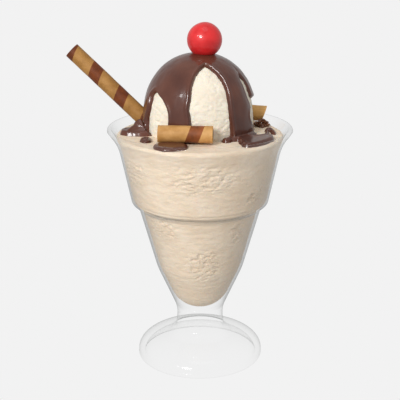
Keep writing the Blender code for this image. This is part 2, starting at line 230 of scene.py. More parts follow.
@dataclass(frozen=True)
class VanillaIceCream:
    """Vanilla dairy ice cream, churned and spooned: matte, faintly translucent, with a fine icy grain."""

    name: str
    light: str
    dark: str
    grain: float = 0.7 * MM  # size of the icy grain
    pores: float = 2.6 * MM  # spacing of the small air pores
    cloud: float = 14 * MM  # size of the soft changes of colour
    wrinkle: float = 3.6 * MM  # size of the churned wrinkles, which lie flat
    grain_depth: float = 0.08 * MM
    pore_depth: float = 0.16 * MM
    wrinkle_depth: float = 1.0 * MM

    def material(self) -> bpy.types.Material:
        """Builds the ice cream, whose wrinkles are as deep as the piece's own churned attribute says.

        Returns:
            The material.
        """
        material, tree = new_material(self.name)
        place = add_node(tree, "ShaderNodeTexCoord").outputs["Object"]
        (colour,) = clouded(tree, place, self.cloud, (0.35, 0.68), [(self.light, self.dark)], 5.0, 0.6)
        grain = add_node(
            tree, "ShaderNodeTexNoise", {"Vector": place, "Scale": 1 / self.grain, "Detail": 3.0, "Roughness": 0.6}
        )
        pores = add_node(tree, "ShaderNodeTexVoronoi", {"Vector": place, "Scale": 1 / self.pores}, feature="SMOOTH_F1")
        hole = add_node(
            tree, "ShaderNodeMapRange", {"Value": pores.outputs["Distance"], "From Min": 0.05, "From Max": 0.35}
        )
        rough = add_node(
            tree, "ShaderNodeBump", {"Height": grain.outputs["Fac"], "Distance": self.grain_depth, "Strength": 1.0}
        )
        pitted = add_node(
            tree,
            "ShaderNodeBump",
            {"Height": hole.outputs[0], "Distance": self.pore_depth, "Strength": 0.6, "Normal": rough.outputs[0]},
        )
        lying = add_node(tree, "ShaderNodeMapping", {"Vector": place, "Scale": (1.0, 1.0, 2.2)})
        churned = add_node(
            tree,
            "ShaderNodeTexNoise",
            {"Vector": lying.outputs[0], "Scale": 1 / self.wrinkle, "Detail": 3.0, "Roughness": 0.6},
        )
        strong = add_node(tree, "ShaderNodeAttribute", attribute_name="churned")
        height = add_node(
            tree, "ShaderNodeMath", {0: churned.outputs["Fac"], 1: strong.outputs["Fac"]}, operation="MULTIPLY"
        )
        bumps = add_node(
            tree,
            "ShaderNodeBump",
            {"Height": height.outputs[0], "Distance": self.wrinkle_depth, "Strength": 1.0, "Normal": pitted.outputs[0]},
        )
        shader = add_node(
            tree,
            "ShaderNodeBsdfPrincipled",
            {
                "Base Color": colour,
                "Roughness": 0.6,
                "IOR": 1.35,
                "Specular IOR Level": 0.35,
                "Subsurface Weight": 0.15,
                "Subsurface Radius": (1.0, 0.65, 0.4),
                "Subsurface Scale": 1.2 * MM,
                "Normal": bumps.outputs[0],
            },
        )
        close_tree(tree, shader.outputs[0])
        return material


@dataclass(frozen=True)
class ChocolateSauce:
    """Cold chocolate sauce that has just set: smooth, wet-looking milk brown with soft flow marks."""

    name: str = "set_chocolate_sauce"
    light: str = "62392B"
    dark: str = "4E2B21"
    cloud: float = 16 * MM  # size of the soft changes of colour
    flow: float = 5 * MM  # width of the flow marks
    roughness: float = 0.3

    def material(self) -> bpy.types.Material:
        """Builds the sauce.

        Returns:
            The material.
        """
        material, tree = new_material(self.name)
        place = add_node(tree, "ShaderNodeTexCoord").outputs["Object"]
        (colour,) = clouded(tree, place, self.cloud, (0.35, 0.65), [(self.light, self.dark)])
        drawn = add_node(tree, "ShaderNodeMapping", {"Vector": place, "Scale": (1.0, 1.0, 0.3)})
        flow = add_node(
            tree,
            "ShaderNodeTexNoise",
            {"Vector": drawn.outputs[0], "Scale": 1 / self.flow, "Detail": 2.0, "Roughness": 0.4},
        )
        bumps = add_node(
            tree, "ShaderNodeBump", {"Height": flow.outputs["Fac"], "Distance": 0.35 * MM, "Strength": 0.7}
        )
        shader = add_node(
            tree,
            "ShaderNodeBsdfPrincipled",
            {
                "Base Color": colour,
                "Roughness": self.roughness,
                "IOR": 1.47,
                "Specular IOR Level": 0.3,
                "Coat Weight": 0.45,
                "Coat Roughness": 0.07,
                "Normal": bumps.outputs[0],
            },
        )
        close_tree(tree, shader.outputs[0])
        return material


@dataclass(frozen=True)
class BakedWafer:
    """Thin wafer batter baked with cocoa stripes and rolled while hot: dry, golden, toasted in patches."""

    name: str = "baked_striped_wafer"
    golden: str = "CC9B5E"
    toasted: str = "B38145"
    cocoa: str = "8E4C20"
    cocoa_dark: str = "6C3716"
    stripe_share: float = 0.375  # part of each turn that the cocoa stripe takes
    stripe_edge: float = 0.018  # how softly the stripe ends, as a part of a turn
    patch: float = 6 * MM  # size of the toasted patches
    grain: float = 0.5 * MM

    def material(self) -> bpy.types.Material:
        """Builds the wafer, whose stripe follows the piece's own stripe_phase attribute.

        Returns:
            The material.
        """
        material, tree = new_material(self.name)
        place = add_node(tree, "ShaderNodeTexCoord").outputs["Object"]
        parts = [(self.golden, self.toasted), (self.cocoa, self.cocoa_dark)]
        batter, cocoa = clouded(tree, place, self.patch, (0.38, 0.66), parts, 4.0, 0.6)
        phase = add_node(tree, "ShaderNodeAttribute", attribute_name="stripe_phase")
        turn = add_node(tree, "ShaderNodeMath", {0: phase.outputs["Fac"]}, operation="FRACT")
        start = add_node(
            tree,
            "ShaderNodeMapRange",
            {"Value": turn.outputs[0], "From Min": 0.0, "From Max": self.stripe_edge},
            interpolation_type="SMOOTHSTEP",
        )
        end = add_node(
            tree,
            "ShaderNodeMapRange",
            {
                "Value": turn.outputs[0],
                "From Min": self.stripe_share,
                "From Max": self.stripe_share + self.stripe_edge,
                "To Min": 1.0,
                "To Max": 0.0,
            },
            interpolation_type="SMOOTHSTEP",
        )
        stripe = add_node(tree, "ShaderNodeMath", {0: start.outputs[0], 1: end.outputs[0]}, operation="MULTIPLY")
        colour = add_node(
            tree, "ShaderNodeMix", {"Factor": stripe.outputs[0], "A": batter, "B": cocoa}, data_type="RGBA"
        )
        grain = add_node(
            tree, "ShaderNodeTexNoise", {"Vector": place, "Scale": 1 / self.grain, "Detail": 3.0, "Roughness": 0.6}
        )
        bumps = add_node(
            tree, "ShaderNodeBump", {"Height": grain.outputs["Fac"], "Distance": 0.08 * MM, "Strength": 0.8}
        )
        shader = add_node(
            tree,
            "ShaderNodeBsdfPrincipled",
            {
                "Base Color": colour.outputs["Result"],
                "Roughness": 0.55,
                "IOR": 1.45,
                "Specular IOR Level": 0.4,
                "Normal": bumps.outputs[0],
            },
        )
        close_tree(tree, shader.outputs[0])
        return material


@dataclass(frozen=True)
class CandiedCherry:
    """Cherry steeped in red syrup: bright, slightly see-through flesh under a thin wet skin."""

    light: str = "DC2A2C"
    dark: str = "C4181C"
    cloud: float = 7 * MM

    def material(self) -> bpy.types.Material:
        """Builds the cherry's skin.

        Returns:
            The material.
        """
        material, tree = new_material("candied_cherry_skin")
        place = add_node(tree, "ShaderNodeTexCoord").outputs["Object"]
        (colour,) = clouded(tree, place, self.cloud, (0.4, 0.7), [(self.light, self.dark)])
        shader = add_node(
            tree,
            "ShaderNodeBsdfPrincipled",
            {
                "Base Color": colour,
                "Roughness": 0.4,
                "IOR": 1.4,
                "Specular IOR Level": 0.4,
                "Coat Weight": 0.45,
                "Coat Roughness": 0.07,
            },
        )
        close_tree(tree, shader.outputs[0])
        return material


# Shaping ---------------------------------------------------------------------------------------

Outline = list[Vector]  # points (radius, height) of a turned shape
Rows = tuple[tuple[float, ...], ...]  # a small table of sizes


def smoothstep(low: float, high: float, value: np.ndarray) -> np.ndarray:
    """Rises smoothly from 0 at low to 1 at high."""
    share = np.clip((value - low) / (high - low), 0.0, 1.0)
    return share * share * (3 - 2 * share)


def eased(at: np.ndarray, rows: Sequence[float], values: Sequence[float]) -> np.ndarray:
    """Reads a smooth curve through a few values.

    Args:
        at: where to read it.
        rows: the places of the values, rising.
        values: the curve's values there.

    Returns:
        The curve, held at its end values outside the rows.
    """
    x, y = np.array(rows, float), np.array(values, float)
    slopes = np.gradient(y, x)
    at = np.clip(at, x[0], x[-1])
    k = np.clip(np.searchsorted(x, at) - 1, 0, len(x) - 2)
    step = x[k + 1] - x[k]
    t = (at - x[k]) / step
    return (
        (2 * t**3 - 3 * t**2 + 1) * y[k]
        + (t**3 - 2 * t**2 + t) * step * slopes[k]
        + (3 * t**2 - 2 * t**3) * y[k + 1]
        + (t**3 - t**2) * step * slopes[k + 1]
    )


def waves(points: np.ndarray) -> np.ndarray:
    """Reads smooth gradient noise at many points at once.

    Args:
        points: the points, one a row, with lumps one unit across.

    Returns:
        A number from about -1 to 1 for each point, the same on every run.
    """
    cell = np.floor(points).astype(np.int64)
    part = points - cell
    fade = part**3 * (part * (part * 6 - 15) + 10)
    total = np.zeros(len(points))
    for corner in np.ndindex(2, 2, 2):
        spot = cell + np.array(corner)
        mixed = (spot[:, 0] * 73856093) ^ (spot[:, 1] * 19349663) ^ (spot[:, 2] * 83492791)
        pull = np.zeros(len(points))
        for side, prime in enumerate((2654435761, 2246822519, 3266489917)):
            drawn = ((mixed ^ (mixed >> 13)) * prime >> 7) & 0xFFFF
            pull += (drawn / 0x7FFF - 1.0) * (part[:, side] - corner[side])
        total += pull * np.prod(np.where(np.array(corner) == 1, fade, 1 - fade), axis=1)
    return total * 1.3


def relief(points: np.ndarray, cell: Sequence[float], seed: float, octaves: int = 3) -> np.ndarray:
    """Reads seeded fractal noise at points.

    Args:
        points: the points, one a row.
        cell: size of the largest lumps along x, y and z.
        seed: offset that gives another pattern.
        octaves: how many layers there are, each half as large and half as strong.

    Returns:
        A number from about -1 to 1 for each point.
    """
    scaled = points / np.array(cell) + seed
    return sum(waves(scaled * 2.03**k + 11.7 * k) * 0.5**k for k in range(octaves))


def ridges(points: np.ndarray, cell: Sequence[float], seed: float) -> np.ndarray:
    """Like relief, but with narrow creases near 1 and flat ground near 0."""
    return np.maximum(0.0, 1 - 3.2 * np.abs(waves(points / np.array(cell) + seed))) ** 2


def rounded(corners: Sequence[Sequence[float]], start: Sequence[float], end: Sequence[float]) -> Outline:
    """Draws a path whose corners are rounded by arcs.

    Args:
        corners: radius, height and rounding of each corner.
        start: the path's first point.
        end: the path's last point.

    Returns:
        The points of the path, with an arc step of 5 degrees.
    """
    points = [Vector(start)]
    stops = [Vector(start)] + [Vector(c[:2]) for c in corners] + [Vector(end)]
    for before, here, after, corner in zip(stops, stops[1:], stops[2:], corners):
        inward = (before - here).normalized()
        outward = (after - here).normalized()
        half = inward.angle(outward) / 2
        reach = corner[2] / math.tan(half)
        centre = here + (inward + outward).normalized() * corner[2] / math.sin(half)
        first = here + inward * reach - centre
        sweep = first.angle_signed(here + outward * reach - centre)
        steps = max(2, round(math.degrees(abs(sweep)) / 5))
        for k in range(steps + 1):
            arm = first.copy()
            arm.rotate(Matrix.Rotation(-sweep * k / steps, 2))
            points.append(centre + arm)
    points.append(Vector(end))
    return points


def arc(centre: Sequence[float], radius: float, first: float, last: float, steps: int) -> Outline:
    """Draws a round corner.

    Args:
        centre: radius and height of the arc's centre.
        radius: radius of the arc.
        first: angle in degrees where it starts, from the outward direction.
        last: angle where it ends.
        steps: how many straight pieces it has.

    Returns:
        The points of the arc.
    """
    angles = [math.radians(first + (last - first) * k / steps) for k in range(steps + 1)]
    return [Vector((centre[0] + radius * math.cos(a), centre[1] + radius * math.sin(a))) for a in angles]


def dome(radius: float, height: float, floor: float, bulge: float, first: float, last: float) -> Outline:
    """Draws a part of a dome.

    Args:
        radius: the dome's radius at its floor.
        height: its height above the floor.
        floor: height of that floor.
        bulge: power of its curve.
        first: share of the radius where the part starts.
        last: share of the radius where it ends.

    Returns:
        Points along the part.
    """
    steps = max(4, round(abs(last - first) * 40))
    shares = [first + (last - first) * k / steps for k in range(steps + 1)]
    return [Vector((radius * s, floor + height * max(0.0, 1 - s * s) ** bulge)) for s in shares]


def evened(outline: Outline, spacing: float) -> Outline:
    """Gives an outline evenly spaced points.

    Args:
        outline: the points of a path.
        spacing: distance that neighbours get, at most.

    Returns:
        New points along the same path, its ends kept.
    """
    raw = np.array([tuple(p) for p in outline])
    run = np.concatenate([[0.0], np.cumsum(np.linalg.norm(np.diff(raw, axis=0), axis=1))])
    at = np.linspace(0.0, run[-1], max(2, math.ceil(run[-1] / spacing) + 1))
    return [Vector((np.interp(a, run, raw[:, 0]), np.interp(a, run, raw[:, 1]))) for a in at]


def turned(outline: Outline, steps: int) -> bmesh.types.BMesh:
    """Spins an outline into a closed mesh.

    Args:
        outline: points (radius, height), both ends on the axis.
        steps: straight pieces round the shape.

    Returns:
        The mesh, with its poles and its seam merged and its faces outward.
    """
    bm = bmesh.new()
    verts = [bm.verts.new((p.x, 0.0, p.y)) for p in outline]
    for first, second in zip(verts, verts[1:]):
        bm.edges.new((first, second))
    bmesh.ops.spin(
        bm, geom=bm.verts[:] + bm.edges[:], cent=(0, 0, 0), axis=(0, 0, 1), angle=math.tau, steps=steps, use_merge=True
    )
    bmesh.ops.remove_doubles(bm, verts=bm.verts, dist=1e-7)
    bmesh.ops.recalc_face_normals(bm, faces=bm.faces)
    return bm


def skinned(outline: Outline, steps: int, middle: Vector | None = None) -> bmesh.types.BMesh:
    """Wraps a fine grid round an outline, which is quicker than a spin for a dense mesh.

    Args:
        outline: points (radius, height), the first on the axis.
        steps: straight pieces round the shape.
        middle: where the axis stands.

    Returns:
        The mesh, with its poles and its seam merged.
    """
    bm = bmesh.new()
    rows = len(outline) - 1
    bmesh.ops.create_grid(bm, x_segments=steps, y_segments=rows, size=0.5)
    for vert in bm.verts:
        turn = -math.tau * (round((vert.co.x + 0.5) * steps) % steps) / steps
        point = outline[round((vert.co.y + 0.5) * rows)]
        vert.co = (point.x * math.sin(turn), -point.x * math.cos(turn), point.y)
    bmesh.ops.remove_doubles(bm, verts=bm.verts, dist=1e-7)
    bmesh.ops.recalc_face_normals(bm, faces=bm.faces)
    if middle is not None:
        bmesh.ops.translate(bm, vec=middle, verts=bm.verts)
    bm.verts.index_update()
    return bm


def coordinates(bm: bmesh.types.BMesh) -> np.ndarray:
    """The mesh's points, one a row."""
    return np.array([v.co for v in bm.verts], float)


def outward(bm: bmesh.types.BMesh) -> np.ndarray:
    """The mesh's point normals, one a row."""
    bm.normal_update()
    return np.array([v.normal for v in bm.verts], float)


def move_to(bm: bmesh.types.BMesh, points: np.ndarray) -> None:
    """Puts the mesh's points at new places."""
    for vert, point in zip(bm.verts, points):
        vert.co = point


def write_attribute(bm: bmesh.types.BMesh, name: str, values: Iterable[float]) -> None:
    """Gives the mesh's points an attribute that a material reads.

    Args:
        bm: the mesh.
        name: the attribute's name.
        values: one value for each point.
    """
    layer = bm.verts.layers.float.new(name)
    for vert, value in zip(bm.verts, values):
        vert[layer] = value


# Placing ---------------------------------------------------------------------------------------


def stand(name: str, data: bpy.types.ID) -> bpy.types.Object:
    """Puts a mesh, a lamp or a camera into the scene.

    Args:
        name: the new object's name.
        data: the mesh, lamp or camera.

    Returns:
        The object.
    """
    thing = bpy.data.objects.new(name, data)
    bpy.context.scene.collection.objects.link(thing)
    return thing


def finished(bm: bmesh.types.BMesh, name: str, material: bpy.types.Material) -> bpy.types.Object:
    """Turns a mesh into an object with its material.

    Args:
        bm: the mesh. It is used up.
        name: the object's name.
        material: its finish.

    Returns:
        The object.
    """
    mesh = bpy.data.meshes.new(name)
    bm.to_mesh(mesh)
    bm.free()
    mesh.materials.append(material)
    return stand(name, mesh)


@dataclass(frozen=True)
class Serving:
    """Where the sundae stands in the frame, and how its pieces join it."""

    axis: Vector
    fill_level: float

    @classmethod
    def from_frame(cls) -> "Serving":
        """Reads the glass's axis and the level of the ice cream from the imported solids."""
        low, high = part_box("glass")
        return cls(Vector(((low.x + high.x) / 2, (low.y + high.y) / 2, 0.0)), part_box("ice_cream_fill")[1].z)

    def add(
        self, bm: bmesh.types.BMesh, name: str, material: bpy.types.Material, slot: Slot, nodes: Iterable[str]
    ) -> bpy.types.Object:
        """Turns a mesh into a piece of the sundae.

        Args:
            bm: the mesh, with its place given from the glass's axis. It is used up.
            name: the piece's name.
            material: its finish.
            slot: the record's slot for that finish. It is not used.
            nodes: the plain solids that the piece stands for.

        Returns:
            The piece's object.
        """
        bmesh.ops.translate(bm, vec=self.axis, verts=bm.verts)
        piece = finished(bm, name, material)
        piece.data.shade_smooth()
        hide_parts(*nodes)
        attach(piece, "root")
        LOG.info("%s: %d faces", name, len(piece.data.polygons))
        return piece


# The glass -------------------------------------------------------------------------------------


@dataclass
class SodaGlass:
    """The footed glass: a flared bowl with a ledge, a short stem and a domed foot, all one pressing."""

    lip_radius: float = 53.0 * MM
    lip_height: float = 141.3 * MM
    lip_bead: float = 1.4 * MM
    outside: Rows = (  # corners from the lip down: radius, height and rounding
        (50.1 * MM, 136.1 * MM, 12 * MM),
        (46.7 * MM, 130.0 * MM, 25 * MM),
        (39.8 * MM, 97.5 * MM, 2.5 * MM),
        (35.8 * MM, 94.3 * MM, 2.0 * MM),
        (25.4 * MM, 57.0 * MM, 40 * MM),
        (13.2 * MM, 29.6 * MM, 20 * MM),
        (14.4 * MM, 18.2 * MM, 3.0 * MM),
    )
    inside: Rows = (  # and from the bowl's floor up
        (11.6 * MM, 31.6 * MM, 17 * MM),
        (23.4 * MM, 58.0 * MM, 40 * MM),
        (33.0 * MM, 93.6 * MM, 1.6 * MM),
        (38.3 * MM, 99.3 * MM, 2.5 * MM),
        (44.5 * MM, 129.8 * MM, 25 * MM),
        (47.8 * MM, 136.0 * MM, 12 * MM),
    )
    lip_wall: float = 1.6  # how far under the top the outer wall starts, in beads
    stem_blend: float = 1.6  # how far past the stem's last corner the foot starts, in roundings of that corner
    foot_radius: float = 37.4 * MM
    foot_edge: float = 1.6 * MM
    foot_dome: float = 14.1 * MM
    foot_bulge: float = 0.38  # power of the dome's curve: 0.5 would be an ellipse, and less is fuller
    hollow_radius: float = 33.8 * MM
    hollow_height: float = 13.0 * MM
    hollow_bulge: float = 0.42
    hollow_shine: float = 0.4  # how strongly the hollow under the foot shows, beside the outer wall
    inside_shine: float = 0.5  # the bowl's inner side
    lip_shine: float = 0.75  # and the thick lip
    shade_fade: tuple[float, float] = (118 * MM, 134 * MM)  # heights over which the painted shade on the filled wall fades out below the lip
    steps: int = 160

    def shine(self, vert: bmesh.types.BMVert) -> float:
        """Tells how strongly the glass shows its outline at a point: inner walls less, like the thick lip.

        Args:
            vert: a point of the glass's mesh, with its normal up to date.

        Returns:
            The strength, where 1 is the outer wall's.
        """
        if vert.co.z < self.outside[-1][1] and vert.normal.z < -0.02:
            return self.hollow_shine
        if vert.co.z > self.outside[0][1]:
            return self.lip_shine
        inward = vert.normal.x * vert.co.x + vert.normal.y * vert.co.y < 0
        return self.inside_shine if inward or vert.co.xy.length < 0.1 * MM else 1.0

    def inner_wall(self) -> Outline:
        """The bowl's inner side, from the middle of its floor up to the start of the lip."""
        lip = (self.lip_radius - 2 * self.lip_bead, self.lip_height - self.lip_bead)
        return rounded(self.inside, (0.0, self.inside[0][1]), lip)

    def foot(self, first: float, last: float) -> Outline:
        """Points of the foot's dome between two shares of its radius."""
        return dome(self.foot_radius, self.foot_dome, self.foot_edge, self.foot_bulge, first, last)

    def hollow(self, first: float, last: float) -> Outline:
        """Points of the hollow under the foot between two shares of its radius."""
        return dome(self.hollow_radius, self.hollow_height, 0.0, self.hollow_bulge, first, last)

    def outline(self) -> Outline:
        """Draws the whole section, from the bowl's floor over the lip and the foot to the top of the hollow.

        Returns:
            The section's points.
        """
        stem = self.outside[-1]
        share = (stem[0] + self.stem_blend * stem[2]) / self.foot_radius
        # each dome is drawn in two parts, since its steep edge takes closer points
        foot = self.foot(share, 0.97) + self.foot(0.98, 1.0)
        section = self.inner_wall()[:-1]
        section += arc((self.lip_radius - self.lip_bead, self.lip_height - self.lip_bead), self.lip_bead, 150, 0, 10)
        wall = (self.lip_radius, self.lip_height - self.lip_wall * self.lip_bead)
        section += rounded(self.outside, wall, foot[0])[1:-1]
        section += foot
        section += arc((self.foot_radius - self.foot_edge, self.foot_edge), self.foot_edge, -15, -90, 6)
        return section + self.hollow(1.0, 0.97) + self.hollow(0.95, 0.0)

    def build(self, serving: Serving, finish: PressedGlass) -> bpy.types.Object:
        """Builds the glass.

        Args:
            serving: where the sundae stands.
            finish: the glass itself.

        Returns:
            The piece's object.
        """
        bm = turned(self.outline(), self.steps)
        bm.normal_update()
        heights = coordinates(bm)[:, 2]
        write_attribute(bm, "outline_shine", [self.shine(vert) for vert in bm.verts])
        # the wall's painted shade, held to where the ice cream lies behind and fading out below the lip
        write_attribute(bm, "painted_shade_wall", (1 - smoothstep(*self.shade_fade, heights)) * (heights > self.inside[0][1]))
        return serving.add(bm, "soda_glass", finish.material(), Slot.GLASS, ["glass"])


# The ice cream ---------------------------------------------------------------------------------


@dataclass
class Filling:
    """The ice cream packed in the bowl, with the wrinkles and hollows that the glass pressed into it."""

    glass: SodaGlass
    into_wall: float = 0.9 * MM  # how far it reaches into the wall, so that no gap shows
    shoulder: float = 2.0 * MM  # rounding of its top edge
    # the narrow step that the ledge leaves in it, from below: points (radius, height)
    ledge: Rows = ((34.2 * MM, 94.3 * MM), (35.5 * MM, 95.6 * MM), (38.5 * MM, 97.6 * MM), (39.3 * MM, 99.3 * MM))
    crease: float = 95.0 * MM  # height of the sharp crease under that step
    crease_width: float = 0.6 * MM
    crack: float = 98.6 * MM  # height of the fine crack above it
    crack_width: float = 0.45 * MM
    bottom_reach: float = 0.3 * MM  # how far it reaches into the bowl's floor
    bottom_blend: float = 12 * MM  # height over which that grows to its reach into the wall
    widening: float = 0.36  # how much the bowl widens near the filling's top, for each step up
    least_churned: float = 0.34  # how deep the fine wrinkles are between the patches, as a share
    wrinkle_depth: float = 0.2 * MM  # of the flat-lying wrinkles, and as much again of the wide swells
    dent_depth: float = 0.07 * MM  # of the small hollows between the patches
    patch_depth: float = 0.72 * MM  # and in them
    low_patches: float = 0.3  # how much deeper the patches below the ledge are, as a share
    crease_depth: float = 0.45 * MM
    crack_depth: float = 0.5 * MM
    side_depths: tuple[float, float] = (0.4 * MM, 3 * MM)  # depths between which the marks of the glass begin
    low_height: float = 8 * MM  # height over which the patches grow deeper below the crease
    calm_share: float = 0.25  # share of their depth that the marks have at the thin-walled bottom
    calm_height: float = 10 * MM  # height above it where they have it all
    top_depth: float = 0.28 * MM  # of the lumps on its top
    top_drop: float = 0.15 * MM  # how far they lie lower than its plain top, on the whole
    spacing: float = 0.62 * MM
    steps: int = 320
    # patches of small hollows: azimuth, height, and half their size round and up
    patches: Rows = (
        (1.0, 121 * MM, 23 * MM, 11 * MM),
        (-42.0, 88 * MM, 13 * MM, 8 * MM),
        (4.0, 66 * MM, 12 * MM, 13 * MM),
        (48.0, 107 * MM, 9 * MM, 7 * MM),
        (-55.0, 122 * MM, 12 * MM, 7 * MM),
        (42.0, 84 * MM, 7 * MM, 9 * MM),
        (118.0, 112 * MM, 26 * MM, 9 * MM),
        (150.0, 74 * MM, 14 * MM, 12 * MM),
        (205.0, 108 * MM, 24 * MM, 12 * MM),
        (262.0, 80 * MM, 16 * MM, 10 * MM),
        (292.0, 118 * MM, 18 * MM, 8 * MM),
    )

    def outline(self, level: float) -> Outline:
        """Draws the filling's section, from the middle of its top down the wall to its lowest point.

        Args:
            level: height of the ice cream.

        Returns:
            The section's points.
        """
        wall = [p for p in self.glass.inner_wall() if p.y < level - self.shoulder]
        moved = [Vector((0.0, wall[0].y - self.bottom_reach))]
        for before, here, after in zip(wall, wall[1:], wall[2:]):
            along = (after - before).normalized()
            share = max(0.0, min(1.0, (here.y - wall[0].y) / self.bottom_blend))
            reach = self.bottom_reach + (self.into_wall - self.bottom_reach) * share
            moved.append(here + Vector((along.y, -along.x)) * reach)
        moved = [p for p in moved if not self.ledge[0][1] <= p.y <= self.ledge[-1][1]]
        below = len([p for p in moved if p.y < self.ledge[0][1]])
        moved[below:below] = [Vector(p) for p in self.ledge]
        edge = moved[-1].x + self.widening * (level - self.shoulder - moved[-1].y)
        top = [Vector((0.0, level)), Vector((edge - self.shoulder, level))]
        top += arc((edge - self.shoulder, level - self.shoulder), self.shoulder, 80, 0, 5)
        return evened(top + moved[::-1], self.spacing)

    def hollows(self, points: np.ndarray) -> np.ndarray:
        """Tells how strongly the patches of hollows mark each point.

        Args:
            points: the points, one a row.

        Returns:
            A number from 0 to 1 for each point.
        """
        azimuth = np.degrees(np.arctan2(points[:, 0], -points[:, 1]))
        reach = np.hypot(points[:, 0], points[:, 1])
        mark = np.zeros(len(points))
        for middle, height, wide, tall in self.patches:
            round_way = np.radians((azimuth - middle + 180) % 360 - 180) * reach
            far = np.hypot(round_way / wide, (points[:, 2] - height) / tall)
            mark = np.maximum(mark, 1 - smoothstep(0.35, 1.1, far))
        return mark

    def build(self, serving: Serving, finish: VanillaIceCream) -> bpy.types.Object:
        """Builds the filling.

        Args:
            serving: where the sundae stands.
            finish: the ice cream that it is made of.

        Returns:
            The piece's object.
        """
        level = serving.fill_level
        bm = skinned(self.outline(level), self.steps)
        points, normals = coordinates(bm), outward(bm)
        side = smoothstep(level - self.side_depths[0], level - self.side_depths[1], points[:, 2])
        wrinkles = relief(points, (8 * MM, 8 * MM, 2.4 * MM), seed=3.1, octaves=4)
        swells = relief(points, (22 * MM, 22 * MM, 11 * MM), seed=8.4, octaves=2)
        dents = smoothstep(0.02, 0.45, relief(points, (3.6 * MM, 3.6 * MM, 1.5 * MM), seed=5.7, octaves=2))
        patches = self.hollows(points)
        depth = self.wrinkle_depth * (1 - wrinkles + np.maximum(0, swells))
        low = smoothstep(self.crease, self.crease - self.low_height, points[:, 2])
        depth += (self.dent_depth + self.patch_depth * patches * (1 + self.low_patches * low)) * dents
        depth += self.crease_depth * np.exp(-(((points[:, 2] - self.crease) / self.crease_width) ** 2))
        depth += self.crack_depth * np.exp(-(((points[:, 2] - self.crack) / self.crack_width) ** 2))
        bottom = self.glass.inside[0][1]
        calm = self.calm_share + (1 - self.calm_share) * smoothstep(bottom, bottom + self.calm_height, points[:, 2])
        depth = np.minimum(depth, self.into_wall - 0.05 * MM) * calm  # so that no hollow parts from the wall
        top = self.top_depth * relief(points, (7 * MM, 7 * MM, 7 * MM), seed=2.2)
        lift = -side * depth + (1 - side) * (top - self.top_drop)
        move_to(bm, points + normals * lift[:, None])
        write_attribute(bm, "churned", self.least_churned + (1 - self.least_churned) * patches)
        return serving.add(bm, "packed_ice_cream", finish.material(), Slot.ICE_CREAM, ["ice_cream_fill"])


@dataclass
class Scoop:
    """The tall scoop on top, spooned rather than moulded, so its sides are gently uneven."""

    axis: Vector
    radius: float = 31.2 * MM
    height: float = 42.5 * MM
    rise: float = 2.63  # powers of the scoop's curve: 2 and 2 would be a plain ellipse
    round: float = 2.09
    lifted: float = 0.3 * MM  # how far its curve starts above the filling's mean level
    sunk: float = 1.5 * MM  # how far it goes down into the filling
    churned: float = 0.4  # how deep its fine wrinkles are, as a share
    lump_depth: float = 0.28 * MM
    drag_depth: float = 0.16 * MM  # of the flat marks that the spoon dragged
    crease_depth: float = 0.26 * MM
    crack_depth: float = 0.2 * MM
    ring: float = 8.8 * MM  # height of the faint ring that the spoon's edge left
    ring_depth: float = 0.1 * MM
    ring_width: float = 0.5 * MM
    drop: float = 0.1 * MM  # how far its skin lies inside its plain curve, on the whole
    spacing: float = 0.55 * MM
    steps: int = 300

    def outline(self, level: float, offset: float = 0.0, steps: int = 60) -> Outline:
        """Draws the scoop's side.

        Args:
            level: height of the ice cream that it stands on.
            offset: how far outside the scoop the line runs.
            steps: how many straight pieces it has.

        Returns:
            Points from the base up to the top.
        """
        points = []
        for k in range(steps + 1):
            angle = math.pi / 2 * k / steps
            up, reach = math.sin(angle) ** (2 / self.rise), math.cos(angle) ** (2 / self.round)
            normal = Vector(
                (self.round * reach ** (self.round - 1) / self.radius, self.rise * up ** (self.rise - 1) / self.height)
            ).normalized()
            point = Vector((self.radius * reach, self.height * up)) + normal * offset
            points.append(Vector((max(0.0, point.x), point.y + level + self.lifted)))
        points[-1].x = 0.0
        return points

    def build(self, serving: Serving, finish: VanillaIceCream) -> bpy.types.Object:
        """Builds the scoop.

        Args:
            serving: where the sundae stands.
            finish: the ice cream that it is made of.

        Returns:
            The piece's object.
        """
        level = serving.fill_level
        side = self.outline(level)[::-1]
        foot = [Vector((self.radius, level - self.sunk)), Vector((0.0, level - self.sunk))]
        bm = skinned(evened(side + foot, self.spacing), self.steps, self.axis)
        points, normals = coordinates(bm), outward(bm)
        lumps = relief(points, (11 * MM, 11 * MM, 8 * MM), seed=4.3)
        drags = relief(points, (8 * MM, 8 * MM, 2.2 * MM), seed=9.2)
        creases = ridges(points, (5.2 * MM, 5.2 * MM, 3.0 * MM), seed=7.7)
        cracks = ridges(points, (3.4 * MM, 3.4 * MM, 4.2 * MM), seed=2.3)
        lift = self.lump_depth * lumps + self.drag_depth * drags - self.drop
        lift -= self.crease_depth * creases + self.crack_depth * cracks
        lift -= self.ring_depth * np.exp(-(((points[:, 2] - level - self.ring) / self.ring_width) ** 2))
        move_to(bm, points + normals * lift[:, None])
        write_attribute(bm, "churned", [self.churned] * len(points))
        return serving.add(bm, "scooped_ice_cream", finish.material(), Slot.ICE_CREAM, ["ice_cream_scoop"])


# The chocolate ---------------------------------------------------------------------------------


